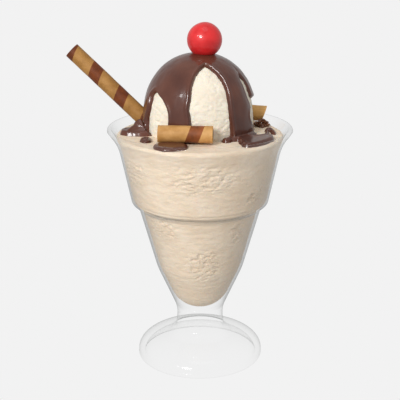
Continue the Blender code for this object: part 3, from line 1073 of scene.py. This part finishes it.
@dataclass(frozen=True)
class Window:
    """An arched place that the runs of sauce leave bare: rows of height above the base, left, right."""

    rows: Rows
    lip: float = 1.0  # how thick the sauce stands round it, as a share of its usual thickness

    def outside(self, azimuth: np.ndarray, height: np.ndarray, reach: np.ndarray) -> np.ndarray:
        """How far points lie outside the window, roughly, in metres, with less than 0 inside.

        Args:
            azimuth: direction of each point round the scoop, in degrees.
            height: its height above the scoop's base.
            reach: its distance from the scoop's axis.

        Returns:
            One distance for each point.
        """
        rows = sorted(self.rows)
        heights = [r[0] * MM for r in rows]
        left = eased(height, heights, [r[1] for r in rows])
        right = eased(height, heights, [r[2] for r in rows])
        away = np.abs((azimuth - (left + right) / 2 + 180) % 360 - 180) - (right - left) / 2
        longer = 1 + (heights[-1] / (42 * MM)) ** 6  # the scoop flattens upwards, so a step up is a longer way
        return np.radians(away) * reach + np.maximum(0.0, height - heights[-1]) * longer


@dataclass(frozen=True)
class Pool:
    """A pool of sauce on the filling: centre, half sizes (x, y, thickness) and turn in degrees."""

    x: float
    y: float
    wide: float
    deep: float
    thick: float
    turn: float = 0.0
    flat: float = 4.0  # 2 is a round lens, more is flatter on top
    fall: float = 0.5  # how it falls to its edge: 0.5 is round, and near 1 is a wedge

    def share(self, points: np.ndarray) -> np.ndarray:
        """Tells how far out each point lies.

        Args:
            points: the points, one a row.

        Returns:
            A number for each point, from 0 in the middle to 1 at the pool's edge and beyond.
        """
        angle = math.radians(self.turn)
        dx, dy = points[:, 0] - self.x * MM, points[:, 1] - self.y * MM
        along = dx * math.cos(angle) + dy * math.sin(angle)
        across = dy * math.cos(angle) - dx * math.sin(angle)
        return np.hypot(along / (self.wide * MM), across / (self.deep * MM))

    def inside(self, points: np.ndarray) -> np.ndarray:
        """How far points lie inside the pool, roughly, in metres."""
        return (1 - self.share(points)) * min(self.wide, self.deep) * MM

    def rise(self, points: np.ndarray) -> np.ndarray:
        """The pool's thickness at each point."""
        return self.thick * MM * np.clip(1 - self.share(points) ** self.flat, 0, 1) ** self.fall


@dataclass
class ChocolateCoat:
    """The sauce poured over the scoop: a cap with runs between bare windows, and pools at their feet."""

    scoop: Scoop
    thickness: float = 1.9 * MM  # over the scoop's own surface
    bead: float = 1.3 * MM  # width over which an edge rounds up to the full thickness
    rim: float = 0.2  # how much thicker it is just inside its edges, as a share
    fillet: float = 2.6 * MM  # rounding where a run spreads out on the filling
    spread: float = 1.4 * MM  # how far a run spreads past that rounding
    waver: float = 0.25 * MM  # how far the edges of the runs waver
    stray: float = 0.9 * MM  # how far the ends of their feet do
    pool_waver: float = 0.35 * MM  # and how far the edges of the pools do
    climb: float = 0.6  # how far up the scoop a pool reaches, as a share of its thickness
    shed: float = 2.0  # how fast it draws in above that
    on_side: tuple[float, float] = (0.2 * MM, 1.2 * MM)  # heights between which it comes to keep to the runs
    join: float = 1.6 * MM  # width over which pools and runs flow together
    joined: tuple[float, float] = (8 * MM, 5 * MM)  # heights between which they begin to
    heaped: float = 0.15  # how much thicker the runs are near their feet, as a share
    heap: tuple[float, float] = (16 * MM, 2 * MM)  # heights between which they grow thicker
    pooled: tuple[float, float] = (7 * MM, 3 * MM)  # heights between which a pool's own thickness begins
    reach: float = 57 * MM  # how far out the sauce is looked for
    spacing: float = 0.52 * MM
    steps: int = 384
    under: float = 2.4 * MM  # how deep the hidden underside lies
    rim_width: float = 0.9 * MM
    flow_depth: float = 0.14 * MM  # of the marks that the running sauce left
    lip_width: float = 4 * MM  # how far from a window its lip counts
    dive: float = 2.6  # how steeply the skin goes under past an edge, into the ice cream
    deepest: float = 2.1 * MM  # and how deep it goes there
    hem: float = 0.6 * MM  # how far it goes on past an edge
    windows: tuple[Window, ...] = (
        Window(
            (
                (24.3, -60.5, -57.6),
                (23.8, -62.4, -54.2),
                (22.9, -64.2, -50.4),
                (21.6, -65.2, -45.3),
                (19.8, -65.0, -40.9),
                (17.6, -64.4, -37.0),
                (15.2, -65.0, -34.5),
                (12.2, -66.0, -33.4),
                (9.0, -68.0, -33.2),
                (4.2, -68.4, -33.6),
                (0.0, -67.8, -34.0),
                (-2.0, -67.8, -34.0),
            )
        ),
        Window(
            (
                (37.9, 4.6, 16.6),
                (37.4, 2.0, 19.2),
                (36.5, -1.0, 22.2),
                (35.1, -4.8, 26.2),
                (33.3, -7.2, 28.8),
                (30.4, -9.4, 30.8),
                (27.0, -9.8, 32.0),
                (23.4, -9.8, 32.1),
                (20.8, -10.2, 31.9),
                (17.7, -10.6, 31.9),
                (13.4, -9.5, 32.2),
                (10.2, -8.9, 32.4),
                (5.8, -8.5, 32.8),
                (-2.0, -8.5, 33.2),
            )
        ),
        Window(
            (
                (31.9, 69.0, 74.0),
                (30.9, 66.8, 76.0),
                (28.8, 66.0, 77.6),
                (25.2, 64.8, 78.2),
                (22.4, 64.8, 77.8),
                (21.0, 65.4, 77.2),
                (20.0, 66.0, 79.4),
                (19.0, 66.8, 84.0),
                (18.2, 67.4, 92.0),
                (13.1, 69.0, 100.0),
                (9.6, 70.2, 100.0),
                (7.4, 70.4, 100.0),
                (3.5, 74.6, 100.0),
                (1.2, 75.0, 100.0),
                (0.2, 70.0, 100.0),
                (-2.0, 66.0, 100.0),
            ),
            lip=0.5,
        ),
        Window(
            (
                (30.4, 113.5, 121.5),
                (29.4, 108.5, 127.0),
                (27.4, 104.5, 131.0),
                (22.4, 101.6, 133.4),
                (20.6, 101.2, 134.0),
                (19.4, 98.0, 134.0),
                (18.4, 93.0, 134.0),
                (17.6, 86.0, 134.0),
                (-2.0, 86.0, 134.0),
            )
        ),
        Window(
            (
                (32.4, 175.5, 183.0),
                (31.4, 171.5, 187.0),
                (29.9, 168.4, 189.6),
                (27.4, 165.0, 192.0),
                (20.4, 161.0, 195.0),
                (10.4, 160.0, 196.0),
                (-2.0, 161.0, 197.0),
            )
        ),
        Window(
            (
                (21.4, 231.0, 238.5),
                (20.5, 227.4, 242.0),
                (19.0, 225.2, 245.4),
                (16.4, 223.5, 249.0),
                (10.4, 222.0, 251.5),
                (-2.0, 221.0, 253.0),
            )
        ),
    )
    pools: tuple[Pool, ...] = (
        Pool(-31.2, -1.0, 14.8, 8.0, 9.0, 10.0, 1.0, 1.0),
        Pool(31.9, -23.4, 13.6, 6.3, 2.3, 55.0, 7.0),
        Pool(27.4, -21.6, 8.0, 5.6, 2.25, 55.0, 6.5),
        Pool(38.0, -5.0, 6.5, 1.3, 2.1, 88.0, 2.2),
        Pool(39.9, 3.6, 2.8, 1.9, 2.2, 10.0, 2.2),
        Pool(41.7, -0.6, 4.2, 1.3, 2.0, 98.0, 2.2),
        Pool(14.5, -20.2, 3.0, 4.8, 1.8, 0.0, 2.5),
        Pool(19.0, -19.4, 4.0, 1.6, 1.3, 0.0, 2.5),
    )
    shore: float = 45.4 * MM  # distance from the glass's axis that no pool passes

    def outline(self, level: float) -> Outline:
        """Draws the line that the sauce lies on: down the scoop, round its foot and out over the filling.

        Args:
            level: height of the ice cream.

        Returns:
            The line's points.
        """
        side = [p for p in self.scoop.outline(level) if p.y > level + self.fillet * 0.95][::-1]
        waist = self.scoop.radius
        foot = arc((waist + self.fillet, level + self.fillet), self.fillet, 180, 270, 10)
        return evened(side + foot + [Vector((self.reach, level))], self.spacing)

    def around(self, window: Window, points: np.ndarray, level: float) -> np.ndarray:
        """Measures how far points lie outside one window.

        Args:
            window: the window.
            points: the points, one a row.
            level: height of the ice cream.

        Returns:
            A distance in metres for each point, with less than 0 inside the window.
        """
        own = points - np.array(self.scoop.axis)
        azimuth = np.degrees(np.arctan2(own[:, 0], -own[:, 1]))
        return window.outside(azimuth, points[:, 2] - level, np.hypot(own[:, 0], own[:, 1]))

    def cover(self, points: np.ndarray, level: float) -> np.ndarray:
        """Measures roughly how far points lie inside the sauce.

        Args:
            points: the points, one a row.
            level: height of the ice cream.

        Returns:
            A distance in metres for each point, with less than 0 where it is bare.
        """
        own = points - np.array(self.scoop.axis)
        reach = np.hypot(own[:, 0], own[:, 1])
        height = points[:, 2] - level
        wave = relief(points, (5 * MM, 5 * MM, 9 * MM), seed=6.1, octaves=2)
        runs = np.min([self.around(w, points, level) for w in self.windows], axis=0) + self.waver * wave
        kept = runs  # how far inside the runs a point is, with no regard to where they end on the filling
        foot = self.scoop.radius + self.fillet + self.spread
        stray = self.stray * relief(points, (8 * MM, 8 * MM, 8 * MM), seed=2.6, octaves=2)
        runs = np.minimum(runs, foot - reach + stray)
        low = smoothstep(*self.joined, height)
        best = runs
        for pool in self.pools:
            over = np.maximum(0.0, height - self.climb * pool.thick * MM)
            inside = pool.inside(points) - self.shed * over + self.pool_waver * wave
            inside -= smoothstep(*self.on_side, height) * np.maximum(0.0, inside - kept)
            blend = np.maximum(0.0, self.join - np.abs(best - inside)) / self.join
            best = np.maximum(best, inside) + blend * blend * (self.join / 4) * low
        return np.minimum(best, self.shore - np.hypot(points[:, 0], points[:, 1]))

    def edge_distance(self, bm: bmesh.types.BMesh, points: np.ndarray, cover: np.ndarray) -> np.ndarray:
        """Measures the true distance of each point from the sauce's edge.

        Args:
            bm: the mesh of the line that the sauce lies on.
            points: its points.
            cover: rough distances inside the sauce.

        Returns:
            The distance in metres, with less than 0 outside the sauce.
        """
        ends = np.array([(e.verts[0].index, e.verts[1].index) for e in bm.edges])
        a, b = cover[ends[:, 0]], cover[ends[:, 1]]
        cut = (a > 0) != (b > 0)
        share = (a[cut] / (a[cut] - b[cut]))[:, None]
        rim = points[ends[cut, 0]] * (1 - share) + points[ends[cut, 1]] * share
        tree = KDTree(len(rim))
        for number, point in enumerate(rim):
            tree.insert(point, number)
        tree.balance()
        distance = np.empty(len(points))
        for number, point in enumerate(points):
            (first, _, near), (second, _, _) = tree.find_n(point, 2)
            way = second - first
            if way.length > 1e-6 and near < 2 * MM:
                arm = Vector(point) - first
                along = max(0.0, min(1.0, arm.dot(way) / way.length_squared))
                near = (arm - way * along).length
            distance[number] = near
        return np.where(cover > 0, distance, -distance)

    def build(self, serving: Serving, finish: ChocolateSauce) -> bpy.types.Object:
        """Builds the coat as one closed shell.

        Args:
            serving: where the sundae stands.
            finish: the sauce that it is made of.

        Returns:
            The piece's object.
        """
        level = serving.fill_level
        bm = skinned(self.outline(level), self.steps, self.scoop.axis)
        points, normals = coordinates(bm), outward(bm)
        if normals[:, 2].sum() < 0:
            normals = -normals
        cover = self.cover(points, level)
        inside = self.edge_distance(bm, points, cover)
        share = np.clip(inside / self.bead, 0, 1)
        rounding = np.sqrt(1 - (1 - share) ** 2)
        height = points[:, 2] - level
        drawn = relief(points, (4.5 * MM, 4.5 * MM, 16 * MM), seed=3.3, octaves=2)
        body = self.thickness * (1 + self.rim * np.exp(-(((inside - self.bead) / self.rim_width) ** 2)))
        body += self.flow_depth * drawn
        body *= 1 + self.heaped * smoothstep(*self.heap, height)
        for window in self.windows:
            if window.lip < 1:
                near = np.exp(-((np.maximum(0.0, self.around(window, points, level)) / self.lip_width) ** 2))
                body *= 1 - (1 - window.lip) * near
        low = smoothstep(*self.pooled, height)
        for pool in self.pools:
            body = np.maximum(body, pool.rise(points) * low)
        lift = np.where(inside > 0, body * rounding, np.maximum(self.dive * inside, -self.deepest))
        rise = bm.verts.layers.float_vector.new("rise")
        for vert, normal, up in zip(bm.verts, normals, lift):
            vert[rise] = Vector(normal) * (up + self.under)
            vert.co -= Vector(normal) * self.under
        bare = [f for f in bm.faces if all(inside[v.index] < -self.hem for v in f.verts)]
        bmesh.ops.delete(bm, geom=bare, context="FACES")
        grown = bmesh.ops.extrude_face_region(bm, geom=bm.faces[:])["geom"]
        for vert in grown:
            if isinstance(vert, bmesh.types.BMVert):
                vert.co += vert[rise]
        bmesh.ops.recalc_face_normals(bm, faces=bm.faces)
        return serving.add(bm, "chocolate_coat", finish.material(), Slot.CHOCOLATE, ["chocolate_sauce"])


@dataclass
class SauceDrop:
    """A separate drop of sauce that has run flat on the filling."""

    name: str
    node: str
    pool: Pool
    sunk: float = 0.7 * MM  # how far it goes down into the filling
    underside: float = 0.93  # radius of its hidden underside, as a share
    uneven: float = 0.09  # how much its outline wanders, as a share
    rings: int = 18
    steps: int = 72

    def build(self, serving: Serving, finish: ChocolateSauce) -> bpy.types.Object:
        """Builds the drop.

        Args:
            serving: where the sundae stands.
            finish: the sauce that it is made of.

        Returns:
            The piece's object.
        """
        level = serving.fill_level
        top = [math.sin(math.pi / 2 * k / self.rings) for k in range(self.rings + 1)]
        line = [Vector((s, self.pool.thick * MM * (1 - s**self.pool.flat) ** 0.5)) for s in top]
        line += [Vector((self.underside, -self.sunk)), Vector((0.0, -self.sunk))]
        bm = turned(line, self.steps)
        bmesh.ops.scale(bm, vec=(self.pool.wide * MM, self.pool.deep * MM, 1.0), verts=bm.verts)
        turn = Matrix.Rotation(math.radians(self.pool.turn), 3, "Z")
        bmesh.ops.rotate(bm, matrix=turn, verts=bm.verts)
        points = coordinates(bm)
        wave = 1 + self.uneven * relief(points + 7.7, (6 * MM, 6 * MM, 60 * MM), seed=self.pool.x, octaves=2)
        points[:, :2] *= wave[:, None]
        move_to(bm, points)
        bmesh.ops.translate(bm, vec=(self.pool.x * MM, self.pool.y * MM, level), verts=bm.verts)
        return serving.add(bm, self.name, finish.material(), Slot.CHOCOLATE, [self.node])


@dataclass
class Flakes:
    """The little heap of broken chocolate flakes by the back roll."""

    middle: Vector
    reach: tuple[float, float] = (4.6 * MM, 3.6 * MM)  # half the heap's size across and back
    peak: float = 3.0 * MM
    crumbs: float = 0.8  # size of the heap of crumbs under the flakes, as a share
    crumbling: tuple[float, float] = (0.35, 0.2)  # how uneven that is, in large and in small
    count: int = 26
    long: tuple[float, float] = (1.8 * MM, 4.0 * MM)
    thick: float = 0.6 * MM
    tumble: tuple[float, float] = (34.0, 30.0)  # how far a flake tips along and across, in degrees
    seed: int = 11

    def core(self, bm: bmesh.types.BMesh, level: float) -> None:
        """Heaps up the crumbs that the flakes lie on.

        Args:
            bm: the heap's mesh, which the crumbs are added to.
            level: height of the ice cream.
        """
        made = bmesh.ops.create_icosphere(bm, subdivisions=4, radius=1.0)["verts"]
        for vert in made:
            ragged = 1 + self.crumbling[0] * noise.noise(vert.co * 2.6)
            ragged += self.crumbling[1] * noise.noise(vert.co * 6.5)
            flat = Vector((vert.co.x * self.reach[0], vert.co.y * self.reach[1], vert.co.z * self.peak))
            vert.co = self.middle + flat * ragged * self.crumbs + Vector((0.0, 0.0, level))

    def flake(self, bm: bmesh.types.BMesh, level: float, draw: Random) -> None:
        """Adds one flake: a thin, curled and ragged chip.

        Args:
            bm: the heap's mesh, which the flake is added to.
            level: height of the ice cream.
            draw: the source of the flake's size and place.
        """
        long = draw.uniform(*self.long)
        wide = long * draw.uniform(0.4, 0.7)
        out, way = draw.random() ** 0.7, draw.uniform(0, math.tau)
        x, y = self.reach[0] * out * math.cos(way), self.reach[1] * out * math.sin(way)
        z = level + self.peak * (1 - out) * draw.uniform(0.7, 1.1) + 0.5 * MM
        start = Vector((draw.uniform(0, 50), 0.0, 0.0))
        made = bmesh.ops.create_grid(bm, x_segments=8, y_segments=5, size=0.5)["verts"]
        for vert in made:
            narrow = 1 - 0.6 * (vert.co.x + 0.5) ** 2
            ragged = 1 + 0.35 * noise.noise(vert.co * 4 + start)
            curl = wide * (0.5 * vert.co.y**2 + 0.25 * vert.co.x**2)
            vert.co = Vector((vert.co.x * long, vert.co.y * wide * narrow, curl)) * ragged
        faces = list({face for vert in made for face in vert.link_faces})
        grown = bmesh.ops.extrude_face_region(bm, geom=faces)["geom"]
        upper = [item for item in grown if isinstance(item, bmesh.types.BMVert)]
        bmesh.ops.translate(bm, vec=(0, 0, self.thick), verts=upper)
        lay = Matrix.Rotation(draw.uniform(0, math.tau), 4, "Z")
        lay @= Matrix.Rotation(math.radians(draw.uniform(-self.tumble[0], self.tumble[0])), 4, "Y")
        lay @= Matrix.Rotation(math.radians(draw.uniform(-self.tumble[1], self.tumble[1])), 4, "X")
        put = Matrix.Translation(self.middle + Vector((x, y, z))) @ lay
        bmesh.ops.transform(bm, matrix=put, verts=made + upper)

    def build(self, serving: Serving, finish: ChocolateSauce) -> bpy.types.Object:
        """Builds the heap.

        Args:
            serving: where the sundae stands.
            finish: the chocolate that it is made of.

        Returns:
            The piece's object.
        """
        bm = bmesh.new()
        self.core(bm, serving.fill_level)
        draw = Random(self.seed)
        for _ in range(self.count):
            self.flake(bm, serving.fill_level, draw)
        bmesh.ops.recalc_face_normals(bm, faces=bm.faces)
        piece = serving.add(bm, "chocolate_flake_heap", finish.material(), Slot.CHOCOLATE, ["chocolate_flakes"])
        piece.data.set_sharp_from_angle(angle=SHARP)
        return piece


# The wafer rolls and the cherry ----------------------------------------------------------------


@dataclass
class WaferRoll:
    """One striped wafer, rolled up from a thin sheet, with its turns showing at the ends."""

    name: str
    node: str
    start: Vector
    end: Vector
    hand: Hand
    phase: float  # where along the roll the stripe starts, in turns
    slant: float = 0.0  # how much the far end is pushed along on one side, in degrees
    single: bool = False  # whether only one turn of the stripe shows
    lap: float = 180.0  # where the sheet's outer edge lies round the roll, from the front, in degrees
    radius: float = 5.1 * MM
    sheet: float = 0.62 * MM
    pitch: float = 0.70 * MM  # how far inwards each turn of the sheet moves
    turns: float = 2.35
    stripe_pitch: float = 19.8 * MM
    stripe_lean: float = 0.35  # slope of the stripe across the front of the roll
    stripe_least: float = 0.45  # share of that slope that it keeps at the sides
    stripe_back: float = 100.0  # angle from the front beyond which it turns back, to close behind
    shown: tuple[float, float] = (-0.4, 0.9)  # part of the turns that a single stripe is held to
    uneven: float = 0.12 * MM  # how far its surface swells and sinks
    around: int = 56
    rings: int = 60

    def section(self) -> list[tuple[float, float]]:
        """Draws the rolled sheet's closed outline.

        Returns:
            Its points as radius and angle, unrolled from the sheet's outer edge.
        """
        count = round(self.around * self.turns)
        angles = [math.tau * self.turns * k / count for k in range(count + 1)]
        outer = [(self.radius - self.pitch * a / math.tau, a) for a in angles]
        return outer + [(r - self.sheet, a) for r, a in outer[::-1]]

    def stripe_climb(self, angle: float) -> float:
        """Works out how far along the roll the stripe lies, as a slanting ring that closes behind.

        Args:
            angle: angle round the roll from its front, in radians.

        Returns:
            The distance in metres.
        """
        turned, back = abs(math.remainder(angle, math.tau)), math.radians(self.stripe_back)
        seen = min(turned, back)
        near = min(math.acos(self.stripe_least), seen)
        climb = self.stripe_lean * self.radius * (math.sin(near) + self.stripe_least * (seen - near))
        behind = (turned - seen) / (math.pi - back)
        return math.copysign(climb * math.cos(behind * math.pi / 2), math.remainder(angle, math.tau))

    def build(self, serving: Serving, material: bpy.types.Material) -> bpy.types.Object:
        """Builds the roll along its own axis, then lays it in its place.

        Args:
            serving: where the sundae stands.
            material: the baked wafer; the long and the back roll take copies of it with painted shade and painted
                light.

        Returns:
            The piece's object.
        """
        length = (self.end - self.start).length
        way = (self.end - self.start).to_track_quat("Z", "Y").to_matrix().to_4x4()
        place = Matrix.Translation(self.start) @ way
        down = way.to_3x3().inverted() @ Vector((0, 0, -1))
        front = way.to_3x3().inverted() @ Vector((0, -1, 0))
        facing = math.atan2(front.y, front.x)
        first = facing + math.radians(self.lap)
        bm = bmesh.new()
        phase = bm.verts.layers.float.new("stripe_phase")
        angle_at = bm.verts.layers.float.new("angle")
        loop = []
        for radius, angle in self.section():
            vert = bm.verts.new((radius * math.cos(first + angle), radius * math.sin(first + angle), 0.0))
            vert[angle_at] = angle - math.pi
            loop.append(vert)
        bmesh.ops.triangulate(bm, faces=[bm.faces.new(loop)])
        bottom = list(bm.faces)
        grown = bmesh.ops.extrude_face_region(bm, geom=bottom)["geom"]
        top = [v for v in grown if isinstance(v, bmesh.types.BMVert)]
        bmesh.ops.translate(bm, vec=(0, 0, length), verts=top)
        sides = [e for e in bm.edges if abs(e.verts[0].co.z - e.verts[1].co.z) > length / 2]
        bmesh.ops.subdivide_edges(bm, edges=sides, cuts=self.rings - 1, use_grid_fill=True)
        for vert in bm.verts:
            share = vert.co.z / length
            lead = self.hand.value * self.stripe_climb(vert[angle_at])
            turns = (vert.co.z - lead) / self.stripe_pitch + self.phase
            vert[phase] = max(self.shown[0], min(self.shown[1], turns)) if self.single else turns
            reach = Vector(vert.co.xy)
            swell = self.uneven * noise.noise(vert.co / (7 * MM) + Vector((self.phase * 9,) * 3))
            grown_by = 1 + (swell - self.uneven) / self.radius
            vert.co.x, vert.co.y = reach.x * grown_by, reach.y * grown_by
            if self.slant and share > 0.5:
                push = math.tan(math.radians(self.slant)) * (-down.x * reach.x - down.y * reach.y - self.radius)
                vert.co.z += push * (share - 0.5) * 2
        bmesh.ops.recalc_face_normals(bm, faces=bm.faces)
        bmesh.ops.transform(bm, matrix=place, verts=bm.verts)
        piece = serving.add(bm, self.name, material, Slot.WAFER, [self.node])
        piece.data.set_sharp_from_angle(angle=SHARP)
        return piece


@dataclass
class Cherry:
    """The stoned, candied cherry that sits on the sauce."""

    centre: Vector
    radius: float = 9.95 * MM
    squat: float = 0.995  # its height, as a share of its width
    lumpy: float = 0.16 * MM  # how uneven it is
    pit: float = 0.9 * MM  # depth of the little hole where the stone came out, underneath
    pit_width: float = 0.03  # how wide it opens, from 0 to 2 for the whole cherry
    around: int = 96
    rings: int = 56

    def build(self, serving: Serving, finish: CandiedCherry) -> bpy.types.Object:
        """Builds the cherry, a little uneven and flattened.

        Args:
            serving: where the sundae stands.
            finish: the cherry's skin.

        Returns:
            The piece's object.
        """
        bm = bmesh.new()
        bmesh.ops.create_uvsphere(bm, u_segments=self.around, v_segments=self.rings, radius=self.radius)
        for vert in bm.verts:
            way = vert.co.normalized()
            lump = noise.noise(way * 1.3 + Vector((4.2, 0.7, 2.1))) * self.lumpy
            hole = self.pit * math.exp(-((1 + way.z) / self.pit_width))
            vert.co = way * (self.radius + lump - hole)
            vert.co.z *= self.squat
        bmesh.ops.translate(bm, vec=self.centre, verts=bm.verts)
        return serving.add(bm, "candied_cherry", finish.material(), Slot.CHERRY, ["cherry"])


# The studio ------------------------------------------------------------------------------------


@dataclass(frozen=True)
class Lamp:
    """A soft box: where it stands from the middle of the sundae, its size and its power."""

    name: str
    azimuth: float
    elevation: float
    distance: float
    size: float
    power: float


@dataclass
class Studio:
    """A pale, evenly lit sweep with soft boxes, and the camera in front of it."""

    paper: str = "F2F2F2"
    ambient: float = 0.5  # how bright the room is as a light, beside how bright it looks
    mirrored: float = 0.65  # and how bright it is in reflections
    floor_size: float = 14.0
    floor_gap: float = 0.05 * MM  # how far the paper lies under the glass's foot
    sensor: float = 36.0  # width of the camera's sensor, in mm as its lens is
    lens: float = 84.2
    camera_back: float = 522.9 * MM
    camera_up: float = 261.0 * MM
    tilt: float = 17.4
    aim: float = 110 * MM  # height of the point that the soft boxes face
    lamps: tuple[Lamp, ...] = (
        Lamp("key_box", -26.0, 30.0, 1.2, 0.34, 9.6),
        Lamp("glint_box", -48.0, 33.0, 1.2, 0.12, 0.6),
        Lamp("top_box", 10.0, 80.0, 1.3, 0.7, 1.6),
    )

    def strength(self, tree: bpy.types.NodeTree) -> bpy.types.NodeSocket:
        """Works out how strongly the room shines: fully to look at, and less as a light and in reflections.

        Args:
            tree: the node tree of the room or of its floor.

        Returns:
            The socket that holds the strength.
        """
        path = add_node(tree, "ShaderNodeLightPath")
        matte = add_node(
            tree, "ShaderNodeMapRange", {"Value": path.outputs["Is Diffuse Ray"], "To Min": 1.0, "To Max": self.ambient}
        )
        glossy = add_node(
            tree, "ShaderNodeMapRange", {"Value": path.outputs["Is Glossy Ray"], "To Min": 1.0, "To Max": self.mirrored}
        )
        both = add_node(tree, "ShaderNodeMath", {0: matte.outputs[0], 1: glossy.outputs[0]}, operation="MULTIPLY")
        return both.outputs[0]

    def room(self) -> None:
        """Lights the room: bright to look at, softer as a light on matte surfaces."""
        world = bpy.data.worlds.new("studio_room")
        bpy.context.scene.world = world
        world.use_nodes = True
        tree = world.node_tree
        tree.nodes.clear()
        light = add_node(tree, "ShaderNodeBackground", {"Color": linear(self.paper), "Strength": self.strength(tree)})
        add_node(tree, "ShaderNodeOutputWorld", {"Surface": light.outputs[0]})

    def floor(self) -> None:
        """Lays the pale paper that the sundae stands on."""
        bm = bmesh.new()
        bmesh.ops.create_grid(bm, x_segments=1, y_segments=1, size=self.floor_size / 2)
        bmesh.ops.translate(bm, vec=(0, 0, -self.floor_gap), verts=bm.verts)
        material, tree = new_material("matte_studio_paper")
        glow = add_node(tree, "ShaderNodeEmission", {"Color": linear(self.paper), "Strength": self.strength(tree)})
        close_tree(tree, glow.outputs[0])
        paper = finished(bm, "paper_floor", material)

    def light(self, middle: Vector) -> None:
        """Sets up the soft boxes.

        Args:
            middle: the point that each of them faces.
        """
        for lamp in self.lamps:
            data = bpy.data.lights.new(lamp.name, "AREA")
            data.shape = "DISK"
            data.size = lamp.size
            data.energy = lamp.power
            turn, up = math.radians(lamp.azimuth), math.radians(lamp.elevation)
            way = Vector((math.sin(turn) * math.cos(up), -math.cos(turn) * math.cos(up), math.sin(up)))
            box = stand(lamp.name, data)
            box.location = middle + way * lamp.distance
            box.rotation_euler = (-way).to_track_quat("-Z", "Y").to_euler()

    def camera(self, axis: Vector) -> None:
        """Stands the camera in front of the glass, tilted a little down.

        Args:
            axis: the foot of the glass's axis.
        """
        data = bpy.data.cameras.new("camera")
        data.sensor_width = self.sensor
        data.lens = self.lens
        data.clip_start, data.clip_end = 0.01, 50.0
        camera = stand("camera", data)
        camera.location = axis + Vector((0.0, -self.camera_back, self.camera_up))
        camera.rotation_euler = (math.radians(90 - self.tilt), 0.0, 0.0)
        bpy.context.scene.camera = camera

    def build(self, axis: Vector) -> None:
        """Sets up the whole studio.

        Args:
            axis: the foot of the glass's axis.
        """
        view = bpy.context.scene.view_settings
        view.view_transform = "Standard"
        view.look = "None"
        self.room()
        self.floor()
        self.light(axis + Vector((0.0, 0.0, self.aim)))
        self.camera(axis)


def corners(box: tuple[Vector, Vector]) -> list[list[float]]:
    """A box's lowest and highest corner as plain lists."""
    return [list(box[0]), list(box[1])]


def main() -> None:
    """Builds the sundae, piece by piece, and the studio round it."""
    logging.basicConfig(level=logging.INFO, format="%(message)s", stream=sys.stdout)
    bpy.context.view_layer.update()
    serving = Serving.from_frame()
    Studio().build(serving.axis)

    glass = SodaGlass()
    glass.build(serving, PressedGlass())
    Filling(glass).build(serving, VanillaIceCream("packed_vanilla_ice_cream", "F1E0CA", "E9D4BA"))
    scoop = Scoop(Vector((-0.2 * MM, 8.0 * MM, 0.0)))
    scoop.build(serving, VanillaIceCream("spooned_vanilla_ice_cream", "F1EAD9", "E9DDCA"))

    sauce = ChocolateSauce()
    ChocolateCoat(scoop).build(serving, sauce)
    SauceDrop("front_drop", "chocolate_drop_front", Pool(-15.8, -35.2, 9.6, 8.4, 2.0, 0.0, 8.0)).build(serving, sauce)
    SauceDrop("left_drop", "chocolate_drop_left", Pool(-29.9, -20.2, 3.5, 5.3, 1.8, 0.0, 3.4)).build(serving, sauce)
    flaked = ChocolateSauce("broken_chocolate_flakes", "8A5838", "5E3722", roughness=0.45)
    Flakes(Vector((36.6, 17.0, 0.0)) * MM).build(serving, flaked)

    wafer = BakedWafer().material()
    # painted light: the back roll's copy is paler, since little of the key light reaches it; painted shade: the long
    # roll's copy is browner, since the key light falls full on it
    painted_light_wafer = BakedWafer("striped_wafer_painted_lighter", "E8B672", "D2A05A", "96552A", "733F1D").material()
    painted_shade_wafer = BakedWafer("striped_wafer_painted_darker", "AE7F44", "966930", "783A10", "5B290C").material()
    WaferRoll(
        "long_wafer_roll",
        "wafer_roll_long",
        Vector((-73.8, 16.0, 182.3)) * MM,
        Vector((-21.5, 9.1, 132.8)) * MM,
        Hand.RIGHT,
        0.228,
    ).build(serving, painted_shade_wafer)
    WaferRoll(
        "front_wafer_roll",
        "wafer_roll_front",
        Vector((-22.8, -27.0, 143.1)) * MM,
        Vector((7.0, -29.0, 143.1)) * MM,
        Hand.LEFT,
        -0.802,
        single=True,
    ).build(serving, wafer)
    WaferRoll(
        "back_wafer_roll",
        "wafer_roll_back",
        Vector((14.5, 26.0, 145.0)) * MM,
        Vector((39.5, 24.8, 143.1)) * MM,
        Hand.RIGHT,
        0.48,
        16.0,
    ).build(serving, painted_light_wafer)
    low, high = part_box("cherry")
    Cherry((low + high) / 2 - serving.axis - Vector((0.4 * MM, 0.0, 0.0))).build(serving, CandiedCherry())


if __name__ == "__main__":
    main()
